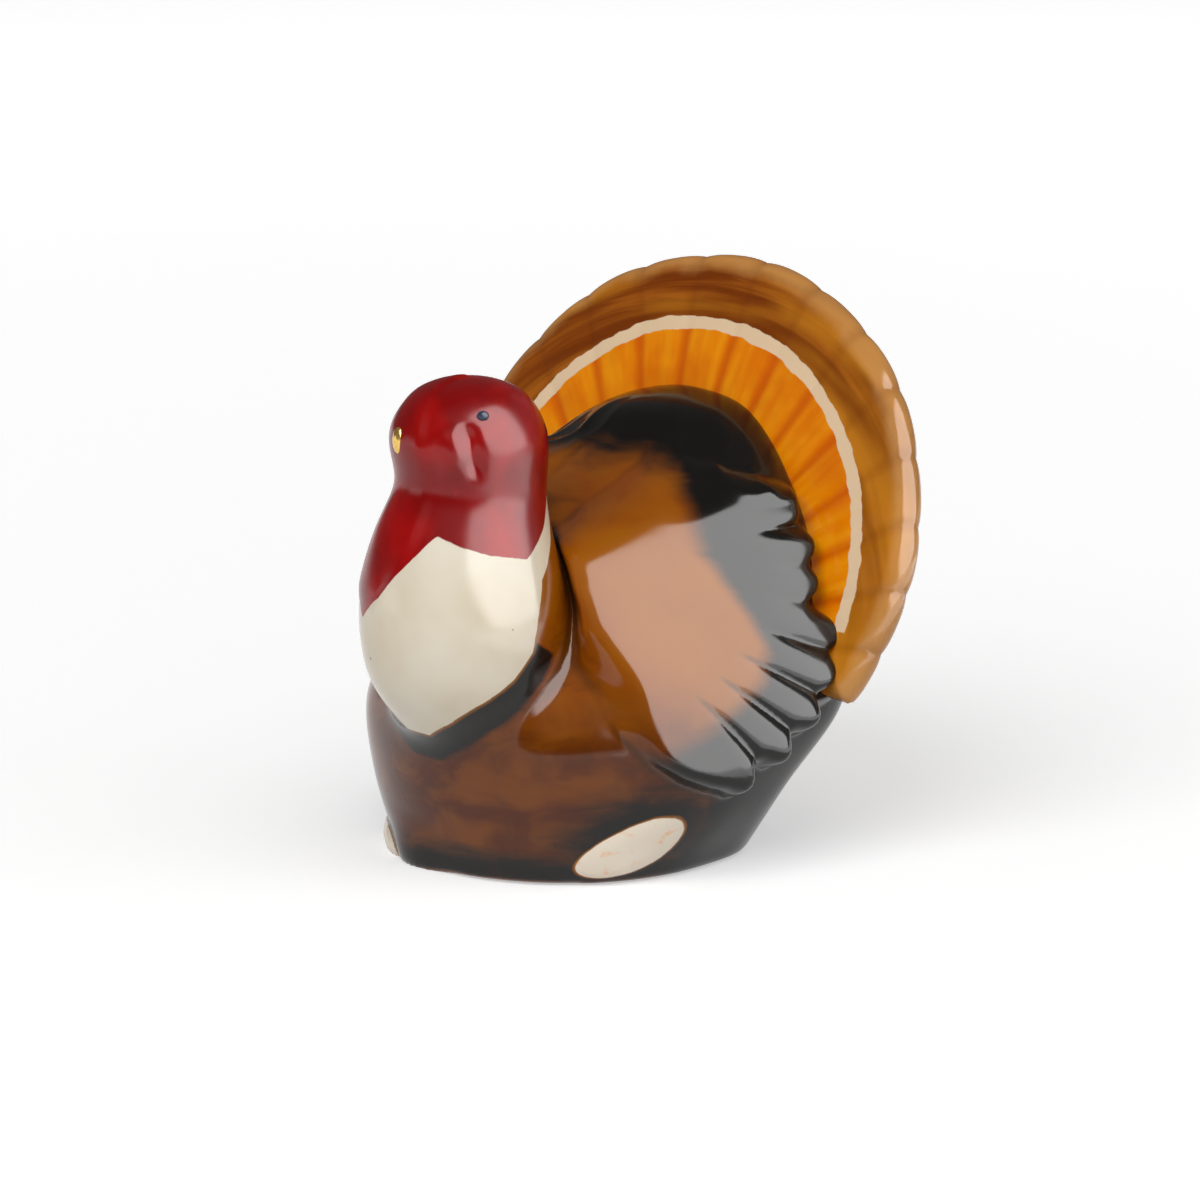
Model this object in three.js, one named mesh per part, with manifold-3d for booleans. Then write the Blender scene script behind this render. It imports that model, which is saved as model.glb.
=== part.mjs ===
// Glazed turkey figure: a hollow slip-cast body with press-moulded pieces set on it.
// Millimetres, +Z up. The bird stands on the origin and faces -Y, with its left side at +X.
import * as THREE from 'three';
import { mergeVertices } from 'three/addons/utils/BufferGeometryUtils.js';
import Module from 'manifold-3d';

// Seams and walls
const SEAM = 0.3;
const BODY_WALL = 3;
const DRAIN_RADIUS = 4;
const DRAIN_SETBACK = 6;

// Torso sections from the foot up: each rises above the one before it, and is drawn about a middle
// that shifts back. Behind the middle the section is squarer than in front of it.
const TORSO_SECTIONS = [
  { rise: 0, middle: 0, halfWidth: 18.2, front: 18.7, back: 12.7 },
  { rise: 1.6, middle: 0.4, halfWidth: 18.9, front: 18.5, back: 12.9 },
  { rise: 6.4, middle: 3, halfWidth: 22.6, front: 22.2, back: 11.8 },
  { rise: 8, middle: 7, halfWidth: 25.2, front: 26.2, back: 14.8 },
  { rise: 7, middle: 9.6, halfWidth: 22.8, front: 23.6, back: 13.5 },
  { rise: 7, middle: 12, halfWidth: 21, front: 20.6, back: 7.2 },
  { rise: 5, middle: 13.7, halfWidth: 19, front: 18.6, back: 5.2 },
  { rise: 6, middle: 16.2, halfWidth: 13.4, front: 9.2, back: 4.8 },
  { rise: 4, middle: 18.2, halfWidth: 7.2, front: 6.9, back: 3.6 },
  { rise: 1.6, middle: 19, halfWidth: 0, front: 0, back: 0 },
];
const TORSO_ROUNDNESS = { front: 2, back: 4 };

// Breast and neck: a round lobe on the front of the torso, from inside it up to the neck seam
const BREAST_FOOT = 11;
const BREAST_SECTIONS = [
  { rise: 0, middle: -13, radius: 0 },
  { rise: 2, middle: -13.2, radius: 5.2 },
  { rise: 3, middle: -13.8, radius: 8.1 },
  { rise: 5, middle: -15, radius: 10.3 },
  { rise: 7, middle: -15.6, radius: 10.7 },
  { rise: 7, middle: -15.5, radius: 9.1 },
  { rise: 6, middle: -14.4, radius: 7.2 },
];

// Head: turned to the bird's right, longer than it is wide, set on the neck
const HEAD_TURN = -20;
const HEAD_SETBACK = -14.8;
const HEAD_SECTIONS = [
  { rise: 0, halfWidth: 7.6, front: 6.8, back: 8.1 },
  { rise: 4.7, halfWidth: 7.7, front: 7.8, back: 8.1 },
  { rise: 3.7, halfWidth: 5.9, front: 5.7, back: 6.1 },
  { rise: 1.6, halfWidth: 3.2, front: 2.9, back: 3.2 },
  { rise: 0.6, halfWidth: 0, front: 0, back: 0 },
];

// Beak and eyes: beads in sockets of the head
const BEAK = { height: 4.6, across: 1.6, tall: 2.8, deep: 1.4 };
const EYE = { height: 7.6, turn: 77, across: 1.3, tall: 1.1, deep: 1 };

// Wattle: an apron let into the breast below the head, narrowing to a tip
const WATTLE = { turn: -30, halfAngle: 50, drop: 13, inlay: 0.8, proud: 0.35, edge: 0.1, pointing: 0.985 };

// Wing: a bowed panel that stands off the torso's side. Each section gives the panel's distance from
// the torso's middle; places on the panel are lengths along it from there, and heights.
const WING_PANEL = { turn: 70, foot: 6, frontBow: 38, rearBow: 44 };
const WING_SECTIONS = [
  { rise: 0, radius: 26 },
  { rise: 7, radius: 27.2 },
  { rise: 7, radius: 26.3 },
  { rise: 7, radius: 23.8 },
  { rise: 8, radius: 19.8 },
  { rise: 8, radius: 13.4 },
];

// Its feathers spread from a root in front of the panel: directions in degrees, lengths from the root
const WING_ROOT = { along: -25, height: 35.5 };
const WING_FEATHERS = { lowest: -40.5, pitch: 6, lowNotch: 2.4, highNotch: 0.1 };
const WING_TIPS = [39.8, 41.2, 42, 41.6, 41.4, 36.2, 35.2, 33];
const WING_VALLEYS = [
  { start: 19, depth: 0.8 },
  { start: 21, depth: 0.8 },
  { start: 22, depth: 0.8 },
  { start: 25, depth: 0.7 },
  { start: 27, depth: 0.3 },
  { start: 27, depth: 0.3 },
  { start: 25, depth: 1.2 },
];
const VALLEY = { fadeIn: 9, sharpness: 3, fromEdge: 0.8 };
const TIP_BLUNTNESS = 2.5;

// Its plain edges below and above the feathers, and the bowed front edge
const WING_LOW_EDGE = [
  { direction: -66, reach: 12 },
  { direction: -60, reach: 18 },
  { direction: -56, reach: 23 },
  { direction: -52, reach: 28 },
  { direction: -48.5, reach: 32 },
  { direction: -45.5, reach: 35.2 },
];
const WING_HIGH_EDGE = [
  { direction: 6.5, reach: 28.5 },
  { direction: 9.5, reach: 23 },
  { direction: 13, reach: 18.5 },
  { direction: 18, reach: 14.5 },
];
const WING_FRONT = { middle: -18, reach: 1, spread: 48, bow: 6 };

// How wide its edges are rounded over: soft near the root, crisp toward the tips, and low by the breast
const WING_ROUNDING = { soft: 5.5, crisp: 1.5, crispStart: 17, crispFull: 30, edge: 0.35 };
const BREAST_GAP = { start: 0.2, full: 2.4 };

// Tail fan: feathers about a quill point below the middle of a nearly round plate that leans back
const FAN = { halfWidth: 32, halfHeight: 30.5, thickness: 4, height: 31.5, setback: 15.75, lean: 19.5 };
const FAN_FEATHERS = { count: 17, pitch: 11.2, quillDrop: 12, groove: 0.3, scallop: 0.3 };
const FAN_GROOVE = { sharpness: 4, start: 0.4, full: 0.9 };
const FAN_RIM = { roundover: 2.2, edge: 1 };

// Feet: egg-shaped pads low on the body, with their narrow ends to the front. The right one sits lower and
// further forward, and is cut off flat just above the ground.
const LEFT_FOOT = { turn: 58, height: 3.9, rise: 21, halfWidth: 2.9 };
const RIGHT_FOOT = { turn: 42, height: 0.5, rise: 0, halfWidth: 2.1 };
const FOOT = { chartRadius: 20, halfLength: 5.3, taper: 0.25, floorGap: 0.1 };
const FOOT_PROUD = { middle: 0.8, edge: 0.3 };

// Fineness of the faceted solids
const TORSO_MESH = { around: 44, perSection: 3 };
const LOBE_MESH = { around: 30, perSection: 3 };
const CAVITY_MESH = { around: 28, perSection: 1 };
const BEAD_MESH = { around: 12, along: 8 };
const FEATHER_COLUMNS = 6;
const WING_SIDE_COLUMNS = 4;
const WING_ROWS = [0, 0.1, 0.22, 0.38, 0.58, 0.78, 0.9, 0.96, 1];
const FAN_RINGS = [0.45, 0.7, 0.88, 0.955, 0.985, 1];
const FOOT_RINGS = [0.35, 0.65, 0.88, 1];
const FOOT_COLUMNS = 20;
const WATTLE_STEPS = { across: 10, down: 9 };

// Glaze colours
const GLAZE = {
  brown: { color: 0x7a4406, roughness: 0.12 },
  wing: { color: 0x33200c, roughness: 0.12 },
  red: { color: 0x8f0404, roughness: 0.1 },
  amber: { color: 0xc8730f, roughness: 0.14 },
  cream: { color: 0xe2d6be, roughness: 0.16 },
  black: { color: 0x14110e, roughness: 0.1 },
  gold: { color: 0xd9a63e, roughness: 0.25, metalness: 0.8 },
};

const wasm = await Module();
wasm.setup();

const radians = THREE.MathUtils.degToRad;
const lerp = THREE.MathUtils.lerp;
const smoothstep = THREE.MathUtils.smoothstep;

// A form is a stack of sections, with heights added up from the rises and a turn about its upright axis.
function makeForm(sections, { foot = 0, turn = 0, roundness = { front: 2, back: 2 } } = {}) {
  let height = foot;
  const stations = sections.map((section) => {
    height += section.rise;
    const { middle = 0, radius = 0, halfWidth = radius, front = radius, back = radius } = section;
    return { height, middle, halfWidth, front, back };
  });
  return { stations, turn: radians(turn), roundness };
}

// Smooth curve through one size of the stations (Catmull-Rom), where step counts stations from 0.
function sizeAt(form, size, step) {
  const last = form.stations.length - 1;
  const index = Math.min(Math.floor(step), last - 1);
  const value = (offset) => form.stations[THREE.MathUtils.clamp(index + offset, 0, last)][size];
  const t = step - index;
  const [from, to] = [value(0), value(1)];
  const slopeFrom = (to - value(-1)) / 2;
  const slopeTo = (value(2) - from) / 2;
  const cubic = 2 * from - 2 * to + slopeFrom + slopeTo;
  const square = 3 * to - 3 * from - 2 * slopeFrom - slopeTo;
  return ((cubic * t + square) * t + slopeFrom) * t + from;
}

// Step of the form whose section lies at a height, found by halving.
function stepAtHeight(form, height) {
  let low = 0;
  let high = form.stations.length - 1;
  for (let halving = 0; halving < 40; halving++) {
    const middle = (low + high) / 2;
    if (sizeAt(form, 'height', middle) < height) low = middle;
    else high = middle;
  }
  return (low + high) / 2;
}

// Point of the form's skin at a step, at an angle from its front toward its left side.
function skinPoint(form, step, angle) {
  const [side, ahead] = [Math.sin(angle), Math.cos(angle)];
  const power = ahead > 0 ? form.roundness.front : form.roundness.back;
  const depth = Math.max(sizeAt(form, ahead > 0 ? 'front' : 'back', step), 0);
  const width = Math.max(sizeAt(form, 'halfWidth', step), 0);
  let reach = 0;
  if (width > 0 && depth > 0) {
    const sum = Math.pow(Math.abs(side) / width, power) + Math.pow(Math.abs(ahead) / depth, power);
    reach = Math.pow(sum, -1 / power);
  }
  const middle = new THREE.Vector3(0, sizeAt(form, 'middle', step), sizeAt(form, 'height', step));
  const turned = angle + form.turn;
  return middle.add(new THREE.Vector3(reach * Math.sin(turned), -reach * Math.cos(turned), 0));
}

// Outward normal of the skin, from small steps along and around it.
function skinNormal(form, step, angle) {
  const [stepSize, angleSize] = [0.01, 0.01];
  const last = form.stations.length - 1;
  const below = Math.max(step - stepSize, 0);
  const above = Math.min(step + stepSize, last - stepSize);
  const up = skinPoint(form, above, angle).sub(skinPoint(form, below, angle));
  const round = skinPoint(form, step, angle + angleSize).sub(skinPoint(form, step, angle - angleSize));
  return round.cross(up).normalize();
}

function skinOffset(form, step, angle, distance) {
  return skinPoint(form, step, angle).addScaledVector(skinNormal(form, step, angle), distance);
}

// Closed geometry from points and faces that are listed counter-clockwise from outside.
function closedGeometry(points, faces) {
  const geometry = new THREE.BufferGeometry();
  geometry.setAttribute('position', new THREE.Float32BufferAttribute(points.flatMap((p) => p.toArray()), 3));
  geometry.setIndex(faces.flat());
  return geometry;
}

// Two triangles for each cell between two equally long rows of point numbers; outside is to the
// right of a walk along the first row with the second row ahead.
function strip(faces, first, second, closed) {
  const count = closed ? first.length : first.length - 1;
  for (let i = 0; i < count; i++) {
    const j = (i + 1) % first.length;
    faces.push([first[i], first[j], second[j]], [first[i], second[j], second[i]]);
  }
}

// Loft of a form, grown along its normals; both ends are closed about a middle point.
function loft(form, mesh, grow = 0) {
  const last = form.stations.length - 1;
  const rows = last * mesh.perSection;
  const points = [];
  const faces = [];
  const rings = [];
  for (let row = 0; row <= rows; row++) {
    const step = row / mesh.perSection;
    if (sizeAt(form, 'halfWidth', step) <= 0) continue;
    const ring = [];
    for (let i = 0; i < mesh.around; i++) {
      const angle = (i / mesh.around) * 2 * Math.PI;
      ring.push(points.push(skinOffset(form, step, angle, grow)) - 1);
    }
    rings.push(ring);
  }
  rings.slice(1).forEach((ring, i) => strip(faces, rings[i], ring, true));
  closeEnd(form, 0, -grow, rings[0], true);
  closeEnd(form, last, grow, rings.at(-1), false);
  return closedGeometry(points, faces);

  function closeEnd(endForm, step, lift, ring, downward) {
    const tip = points[ring[0]].clone().setX(0).setY(sizeAt(endForm, 'middle', step));
    if (sizeAt(endForm, 'halfWidth', step) <= 0) tip.z = sizeAt(endForm, 'height', step) + lift;
    const tipNumber = points.push(tip) - 1;
    ring.forEach((number, i) => {
      const next = ring[(i + 1) % ring.length];
      faces.push(downward ? [tipNumber, next, number] : [tipNumber, number, next]);
    });
  }
}

// Pad on a form's skin: a round chart about a place on it, with an outline, and heights over the seam.
// Its underside lies below the skin, ready to be cut back to the seam.
function skinPad(form, place, rings, columns, outline, heightOver) {
  const points = [];
  const faces = [];
  const chartPoint = (along, up, distance) => {
    const step = stepAtHeight(form, place.height + up);
    return skinOffset(form, step, radians(place.turn) + along / place.chartRadius, distance);
  };
  const top = [];
  const bottom = [];
  rings.forEach((share) => {
    const [topRing, bottomRing] = [[], []];
    for (let i = 0; i < columns.length; i++) {
      const direction = radians(columns[i]);
      const reach = outline(columns[i]) * share;
      const [along, up] = [reach * Math.cos(direction), reach * Math.sin(direction)];
      topRing.push(points.push(chartPoint(along, up, SEAM + heightOver(share, columns[i]))) - 1);
      bottomRing.push(points.push(chartPoint(along, up, -SEAM)) - 1);
    }
    top.push(topRing);
    bottom.push(bottomRing);
  });
  const topMiddle = points.push(chartPoint(0, 0, SEAM + heightOver(0, 0))) - 1;
  const bottomMiddle = points.push(chartPoint(0, 0, -SEAM)) - 1;
  columns.forEach((_, i) => {
    const next = (i + 1) % columns.length;
    faces.push([topMiddle, top[0][i], top[0][next]], [bottomMiddle, bottom[0][next], bottom[0][i]]);
  });
  for (let ring = 1; ring < rings.length; ring++) {
    strip(faces, top[ring], top[ring - 1], true);
    strip(faces, bottom[ring - 1], bottom[ring], true);
  }
  strip(faces, bottom.at(-1), top.at(-1), true);
  return closedGeometry(points, faces);
}

// How near a place lies to the border between two feathers: 0 on a feather's spine, 1 at its border.
function borderNearness(offset, pitch) {
  const share = offset / pitch;
  return Math.abs(share - Math.round(share)) * 2;
}

// Value of a list of directions and reaches at a direction between them.
function reachAt(edge, direction) {
  const next = Math.max(edge.findIndex((point) => point.direction >= direction), 1);
  const [from, to] = [edge[next - 1], edge[next]];
  return lerp(from.reach, to.reach, (direction - from.direction) / (to.direction - from.direction));
}

// Distance square to a curve of reaches, from a gap that is measured along the direction.
function squareGap(curve, direction, gap) {
  const nudge = 0.05;
  const slope = (curve(direction + nudge) - curve(direction - nudge)) / radians(2 * nudge);
  return gap / Math.hypot(1, slope / curve(direction));
}

// Wing of the bird's left side, as rows of points along its feathers. Its underside lies below the
// torso's skin, ready to be cut back to the seam.
function wingShell(torso, breast, panel) {
  const { lowest, pitch, lowNotch, highNotch } = WING_FEATHERS;
  const count = WING_TIPS.length;
  const fanStart = lowest - pitch / 2;
  const fanEnd = fanStart + count * pitch;
  const notchAt = (border) => {
    const shorter = Math.min(WING_TIPS[Math.max(border - 1, 0)], WING_TIPS[Math.min(border, count - 1)]);
    return shorter - lerp(lowNotch, highNotch, border / count);
  };
  const lowEdge = [...WING_LOW_EDGE, { direction: fanStart, reach: notchAt(0) }];
  const highEdge = [{ direction: fanEnd, reach: notchAt(count) }, ...WING_HIGH_EDGE];
  const [first, last] = [lowEdge[0].direction, highEdge.at(-1).direction];

  const front = (direction) => {
    const aside = (direction - WING_FRONT.middle) / WING_FRONT.spread;
    return WING_FRONT.reach + WING_FRONT.bow * aside * aside;
  };
  const outer = (direction) => {
    const held = THREE.MathUtils.clamp(direction, first, last);
    if (held < fanStart) return reachAt(lowEdge, held);
    if (held > fanEnd) return reachAt(highEdge, held);
    const feather = Math.min(Math.floor((held - fanStart) / pitch), count - 1);
    const share = (held - fanStart) / pitch - feather;
    const border = notchAt(share < 0.5 ? feather : feather + 1);
    return lerp(WING_TIPS[feather], border, Math.abs(2 * share - 1) ** TIP_BLUNTNESS);
  };
  const rounded = (inside, reach) => {
    const crisp = smoothstep(reach, WING_ROUNDING.crispStart, WING_ROUNDING.crispFull);
    const width = lerp(WING_ROUNDING.soft, WING_ROUNDING.crisp, crisp);
    const share = THREE.MathUtils.clamp(inside / width, 0, 1);
    return lerp(smoothstep(share, 0, 1), Math.sqrt(1 - (1 - share) ** 2), crisp);
  };
  const valleyAt = (direction, reach, inside) => {
    const depth = WING_VALLEYS.reduce((sum, valley, border) => {
      const aside = Math.abs(direction - fanStart - (border + 1) * pitch);
      const nearness = Math.max(1 - aside / (pitch / 2), 0);
      const grown = smoothstep(reach, valley.start, valley.start + VALLEY.fadeIn);
      return sum + valley.depth * nearness ** VALLEY.sharpness * grown;
    }, 0);
    return depth * THREE.MathUtils.clamp(inside / VALLEY.fromEdge, 0, 1);
  };

  const points = [];
  const pointsAt = (direction, share) => {
    const reach = lerp(front(direction), outer(direction), share);
    const fromFront = squareGap(front, direction, reach - front(direction));
    const fromTip = squareGap(outer, direction, outer(direction) - reach);
    const inside = Math.min(fromFront, fromTip);
    const along = WING_ROOT.along + reach * Math.cos(radians(direction));
    const height = WING_ROOT.height + reach * Math.sin(radians(direction));
    const bow = along < 0 ? WING_PANEL.frontBow : WING_PANEL.rearBow;
    const square = sizeAt(panel, 'halfWidth', stepAtHeight(panel, height)) - along ** 2 / (2 * bow);
    const angle = radians(WING_PANEL.turn) + Math.atan2(along, square);
    const step = stepAtHeight(torso, height);
    const skin = skinPoint(torso, step, angle);
    const level = new THREE.Vector3(Math.sin(angle), -Math.cos(angle), 0);
    const skinReach = Math.hypot(skin.x, skin.y - sizeAt(torso, 'middle', step));
    const breastStep = stepAtHeight(breast, height);
    const toBreast = Math.hypot(skin.x, skin.y - sizeAt(breast, 'middle', breastStep));
    const breastGap = toBreast - sizeAt(breast, 'halfWidth', breastStep);
    const risen = rounded(inside, reach) * smoothstep(breastGap, BREAST_GAP.start, BREAST_GAP.full);
    const rise = (Math.hypot(along, square) - skinReach) * risen - valleyAt(direction, reach, inside);
    const top = skinOffset(torso, step, angle, SEAM + WING_ROUNDING.edge);
    top.addScaledVector(level, Math.max(rise - SEAM - WING_ROUNDING.edge, 0));
    const bottom = skinOffset(torso, step, angle, -SEAM);
    return [points.push(top) - 1, points.push(bottom) - 1];
  };

  const directions = [];
  for (let i = 0; i < WING_SIDE_COLUMNS; i++) directions.push(lerp(first, fanStart, i / WING_SIDE_COLUMNS));
  for (let i = 0; i < count * FEATHER_COLUMNS; i++) directions.push(fanStart + (i / FEATHER_COLUMNS) * pitch);
  for (let i = 0; i <= WING_SIDE_COLUMNS; i++) directions.push(lerp(fanEnd, last, i / WING_SIDE_COLUMNS));
  const [tops, bottoms] = [[], []];
  directions.forEach((direction) => {
    const column = WING_ROWS.map((share) => pointsAt(direction, share));
    tops.push(column.map(([top]) => top));
    bottoms.push(column.map(([, bottom]) => bottom));
  });
  const faces = [];
  for (let column = 1; column < directions.length; column++) {
    strip(faces, tops[column - 1], tops[column], false);
    strip(faces, bottoms[column], bottoms[column - 1], false);
  }
  strip(faces, tops.map((column) => column[0]), bottoms.map((column) => column[0]), false);
  strip(faces, bottoms.map((column) => column.at(-1)), tops.map((column) => column.at(-1)), false);
  strip(faces, bottoms[0], tops[0], false);
  strip(faces, tops.at(-1), bottoms.at(-1), false);
  return closedGeometry(points, faces);
}

// Foot pad, drawn on the bird's left side.
function footPad(torso, foot) {
  const columns = Array.from({ length: FOOT_COLUMNS }, (_, i) => (i / FOOT_COLUMNS) * 360);
  const outline = (direction) => {
    const turned = radians(direction - foot.rise);
    const width = foot.halfWidth * (1 + FOOT.taper * Math.cos(turned));
    const egg = 1 / Math.hypot(Math.cos(turned) / FOOT.halfLength, Math.sin(turned) / width);
    const fall = Math.max(-Math.sin(radians(direction)), 0.001);
    return Math.min(egg, (foot.height - FOOT.floorGap) / fall);
  };
  const heightOver = (share) => lerp(FOOT_PROUD.edge, FOOT_PROUD.middle, Math.sqrt(1 - share * share));
  const place = { turn: foot.turn, height: foot.height, chartRadius: FOOT.chartRadius };
  return skinPad(torso, place, FOOT_RINGS, columns, outline, heightOver);
}

// Wattle apron on the breast, grown all round for the pocket that holds it.
function wattleApron(breast, grow = 0) {
  const neck = breast.stations.at(-1).height;
  const points = [];
  const faces = [];
  const [outer, inner] = [[], []];
  for (let row = 0; row <= WATTLE_STEPS.down; row++) {
    const share = row / WATTLE_STEPS.down;
    const height = lerp(neck - SEAM + 2 * grow, neck - WATTLE.drop - 2 * grow, share);
    const step = stepAtHeight(breast, height);
    const growAngle = grow / sizeAt(breast, 'halfWidth', step);
    const halfAngle = radians(WATTLE.halfAngle) * Math.sqrt(1 - (share * WATTLE.pointing) ** 2) + growAngle;
    const [outerRow, innerRow] = [[], []];
    for (let column = 0; column <= WATTLE_STEPS.across; column++) {
      const across = (column / WATTLE_STEPS.across) * 2 - 1;
      const angle = radians(WATTLE.turn) + across * halfAngle;
      const crown = (1 - across * across) * Math.sqrt(1 - share * share);
      const over = lerp(WATTLE.edge, WATTLE.proud, crown) + grow;
      outerRow.push(points.push(skinOffset(breast, step, angle, over)) - 1);
      innerRow.push(points.push(skinOffset(breast, step, angle, -WATTLE.inlay - grow)) - 1);
    }
    outer.push(outerRow);
    inner.push(innerRow);
  }
  for (let row = 1; row <= WATTLE_STEPS.down; row++) {
    strip(faces, outer[row], outer[row - 1], false);
    strip(faces, inner[row - 1], inner[row], false);
  }
  strip(faces, outer[0], inner[0], false);
  strip(faces, inner.at(-1), outer.at(-1), false);
  strip(faces, outer.map((row) => row.at(-1)), inner.map((row) => row.at(-1)), false);
  strip(faces, inner.map((row) => row[0]), outer.map((row) => row[0]), false);
  return closedGeometry(points, faces);
}

// Fan plate: columns along the feathers from the quill point, grooved on both faces and scalloped.
function fanPlate(grow = 0) {
  const { count, pitch, quillDrop, groove, scallop } = FAN_FEATHERS;
  const half = (count * pitch) / 2;
  const lean = radians(FAN.lean);
  const place = (across, up, ahead) => new THREE.Vector3(
    across,
    FAN.setback + up * Math.sin(lean) - ahead * Math.cos(lean),
    FAN.height + up * Math.cos(lean) + ahead * Math.sin(lean),
  );
  const points = [];
  const faces = [];
  const [frontMiddle, backMiddle] = [grow, -FAN.thickness - grow].map(
    (ahead) => points.push(place(0, -quillDrop - 2 * grow, ahead)) - 1,
  );
  const [front, back] = [[], []];
  for (let column = 0; column <= count * FEATHER_COLUMNS; column++) {
    const turn = (column / FEATHER_COLUMNS) * pitch - half;
    const nearness = borderNearness(turn + (count % 2 ? 0 : pitch / 2), pitch);
    const valley = nearness ** FAN_GROOVE.sharpness;
    const [side, up] = [Math.sin(radians(turn)), Math.cos(radians(turn))];
    const curve = (side / FAN.halfWidth) ** 2 + (up / FAN.halfHeight) ** 2;
    const lift = (quillDrop * up) / FAN.halfHeight ** 2;
    const rim = (lift + Math.sqrt(lift ** 2 + curve * (1 - (quillDrop / FAN.halfHeight) ** 2))) / curve;
    const reach = rim - scallop * valley + 2 * grow;
    const [frontColumn, backColumn] = [[], []];
    FAN_RINGS.forEach((share) => {
      const relief = groove * valley * smoothstep(share, FAN_GROOVE.start, FAN_GROOVE.full);
      const tuck = Math.max(1 - (rim * (1 - share)) / FAN_RIM.roundover, 0);
      const rounding = ((FAN.thickness - FAN_RIM.edge) / 2) * (1 - Math.sqrt(1 - tuck * tuck));
      const [across, rise] = [reach * share * side, reach * share * up - quillDrop - 2 * grow];
      frontColumn.push(points.push(place(across, rise, grow - relief - rounding)) - 1);
      backColumn.push(points.push(place(across, rise, relief + rounding - FAN.thickness - grow)) - 1);
    });
    front.push(frontColumn);
    back.push(backColumn);
  }
  for (let column = 1; column < front.length; column++) {
    strip(faces, front[column], front[column - 1], false);
    strip(faces, back[column - 1], back[column], false);
    faces.push([frontMiddle, front[column][0], front[column - 1][0]]);
    faces.push([backMiddle, back[column - 1][0], back[column][0]]);
  }
  strip(faces, front.map((column) => column.at(-1)), back.map((column) => column.at(-1)), false);
  strip(faces, [frontMiddle, ...front[0]], [backMiddle, ...back[0]], false);
  strip(faces, [backMiddle, ...back.at(-1)], [frontMiddle, ...front.at(-1)], false);
  return closedGeometry(points, faces);
}

// Bead set in the skin of a form, half above it, grown for its socket.
function bead(form, size, turn, grow = 0) {
  const height = form.stations[0].height + size.height;
  const step = stepAtHeight(form, height);
  const normal = skinNormal(form, step, radians(turn));
  const geometry = new THREE.SphereGeometry(1, BEAD_MESH.around, BEAD_MESH.along);
  geometry.scale(size.across / 2 + grow, size.deep / 2 + grow, size.tall / 2 + grow);
  geometry.applyMatrix4(new THREE.Matrix4().makeRotationZ(Math.atan2(normal.x, -normal.y)));
  const { x, y, z } = skinPoint(form, step, radians(turn));
  return geometry.translate(x, y, z);
}

// Closed solids for cutting and joining, and back to geometry.
function toSolid(geometry) {
  const bare = geometry.clone();
  bare.deleteAttribute('normal');
  bare.deleteAttribute('uv');
  const merged = mergeVertices(bare, 1e-4);
  const vertProperties = new Float32Array(merged.attributes.position.array);
  const triVerts = new Uint32Array(merged.index.array);
  return new wasm.Manifold(new wasm.Mesh({ numProp: 3, vertProperties, triVerts }));
}

function toGeometry(solid) {
  const mesh = solid.getMesh();
  const geometry = new THREE.BufferGeometry();
  geometry.setAttribute('position', new THREE.BufferAttribute(mesh.vertProperties, 3));
  geometry.setIndex(new THREE.BufferAttribute(mesh.triVerts, 1));
  return geometry;
}

// The same piece for the bird's other side.
function mirrored(geometry) {
  const copy = geometry.clone().scale(-1, 1, 1);
  const index = Array.from(copy.index.array);
  for (let i = 0; i < index.length; i += 3) [index[i], index[i + 1]] = [index[i + 1], index[i]];
  return copy.setIndex(index);
}

// Torso's hollow: the torso drawn in about its middle until its walls are as thick as they should be.
function torsoHollow(torso) {
  const shell = loft(torso, CAVITY_MESH);
  shell.computeBoundingBox();
  const middle = shell.boundingBox.getCenter(new THREE.Vector3());
  const half = shell.boundingBox.getSize(new THREE.Vector3()).multiplyScalar(0.5);
  const inward = (length) => 1 - BODY_WALL / length;
  shell.translate(-middle.x, -middle.y, -middle.z);
  shell.scale(inward(half.x), inward(half.y), inward(half.z));
  return shell.translate(middle.x, middle.y, middle.z);
}

function drainHole() {
  const length = 4 * BODY_WALL;
  const hole = new THREE.CylinderGeometry(DRAIN_RADIUS, DRAIN_RADIUS, length, CAVITY_MESH.around);
  return hole.rotateX(Math.PI / 2).translate(0, DRAIN_SETBACK, 0);
}

function glazed(name, geometry, glaze) {
  const flat = geometry.index ? geometry.toNonIndexed() : geometry.clone();
  flat.computeVertexNormals();
  const mesh = new THREE.Mesh(flat, new THREE.MeshStandardMaterial(GLAZE[glaze]));
  mesh.name = name;
  return mesh;
}

// Forms
const torsoForm = makeForm(TORSO_SECTIONS, { roundness: TORSO_ROUNDNESS });
const breastForm = makeForm(BREAST_SECTIONS, { foot: BREAST_FOOT });
const panelForm = makeForm(WING_SECTIONS, { foot: WING_PANEL.foot });
const neckHeight = breastForm.stations.at(-1).height;
const headSections = HEAD_SECTIONS.map((section) => ({ ...section, middle: HEAD_SETBACK }));
const headForm = makeForm(headSections, { foot: neckHeight + SEAM, turn: HEAD_TURN });

// Body: torso and breast in one casting, hollow, with the wattle's pocket
const body = toSolid(loft(torsoForm, TORSO_MESH))
  .add(toSolid(loft(breastForm, LOBE_MESH)))
  .subtract(toSolid(torsoHollow(torsoForm)))
  .subtract(toSolid(drainHole()))
  .subtract(toSolid(wattleApron(breastForm, SEAM)));
const torsoClearance = toSolid(loft(torsoForm, TORSO_MESH, SEAM));
const breastClearance = toSolid(loft(breastForm, LOBE_MESH, SEAM));

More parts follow.
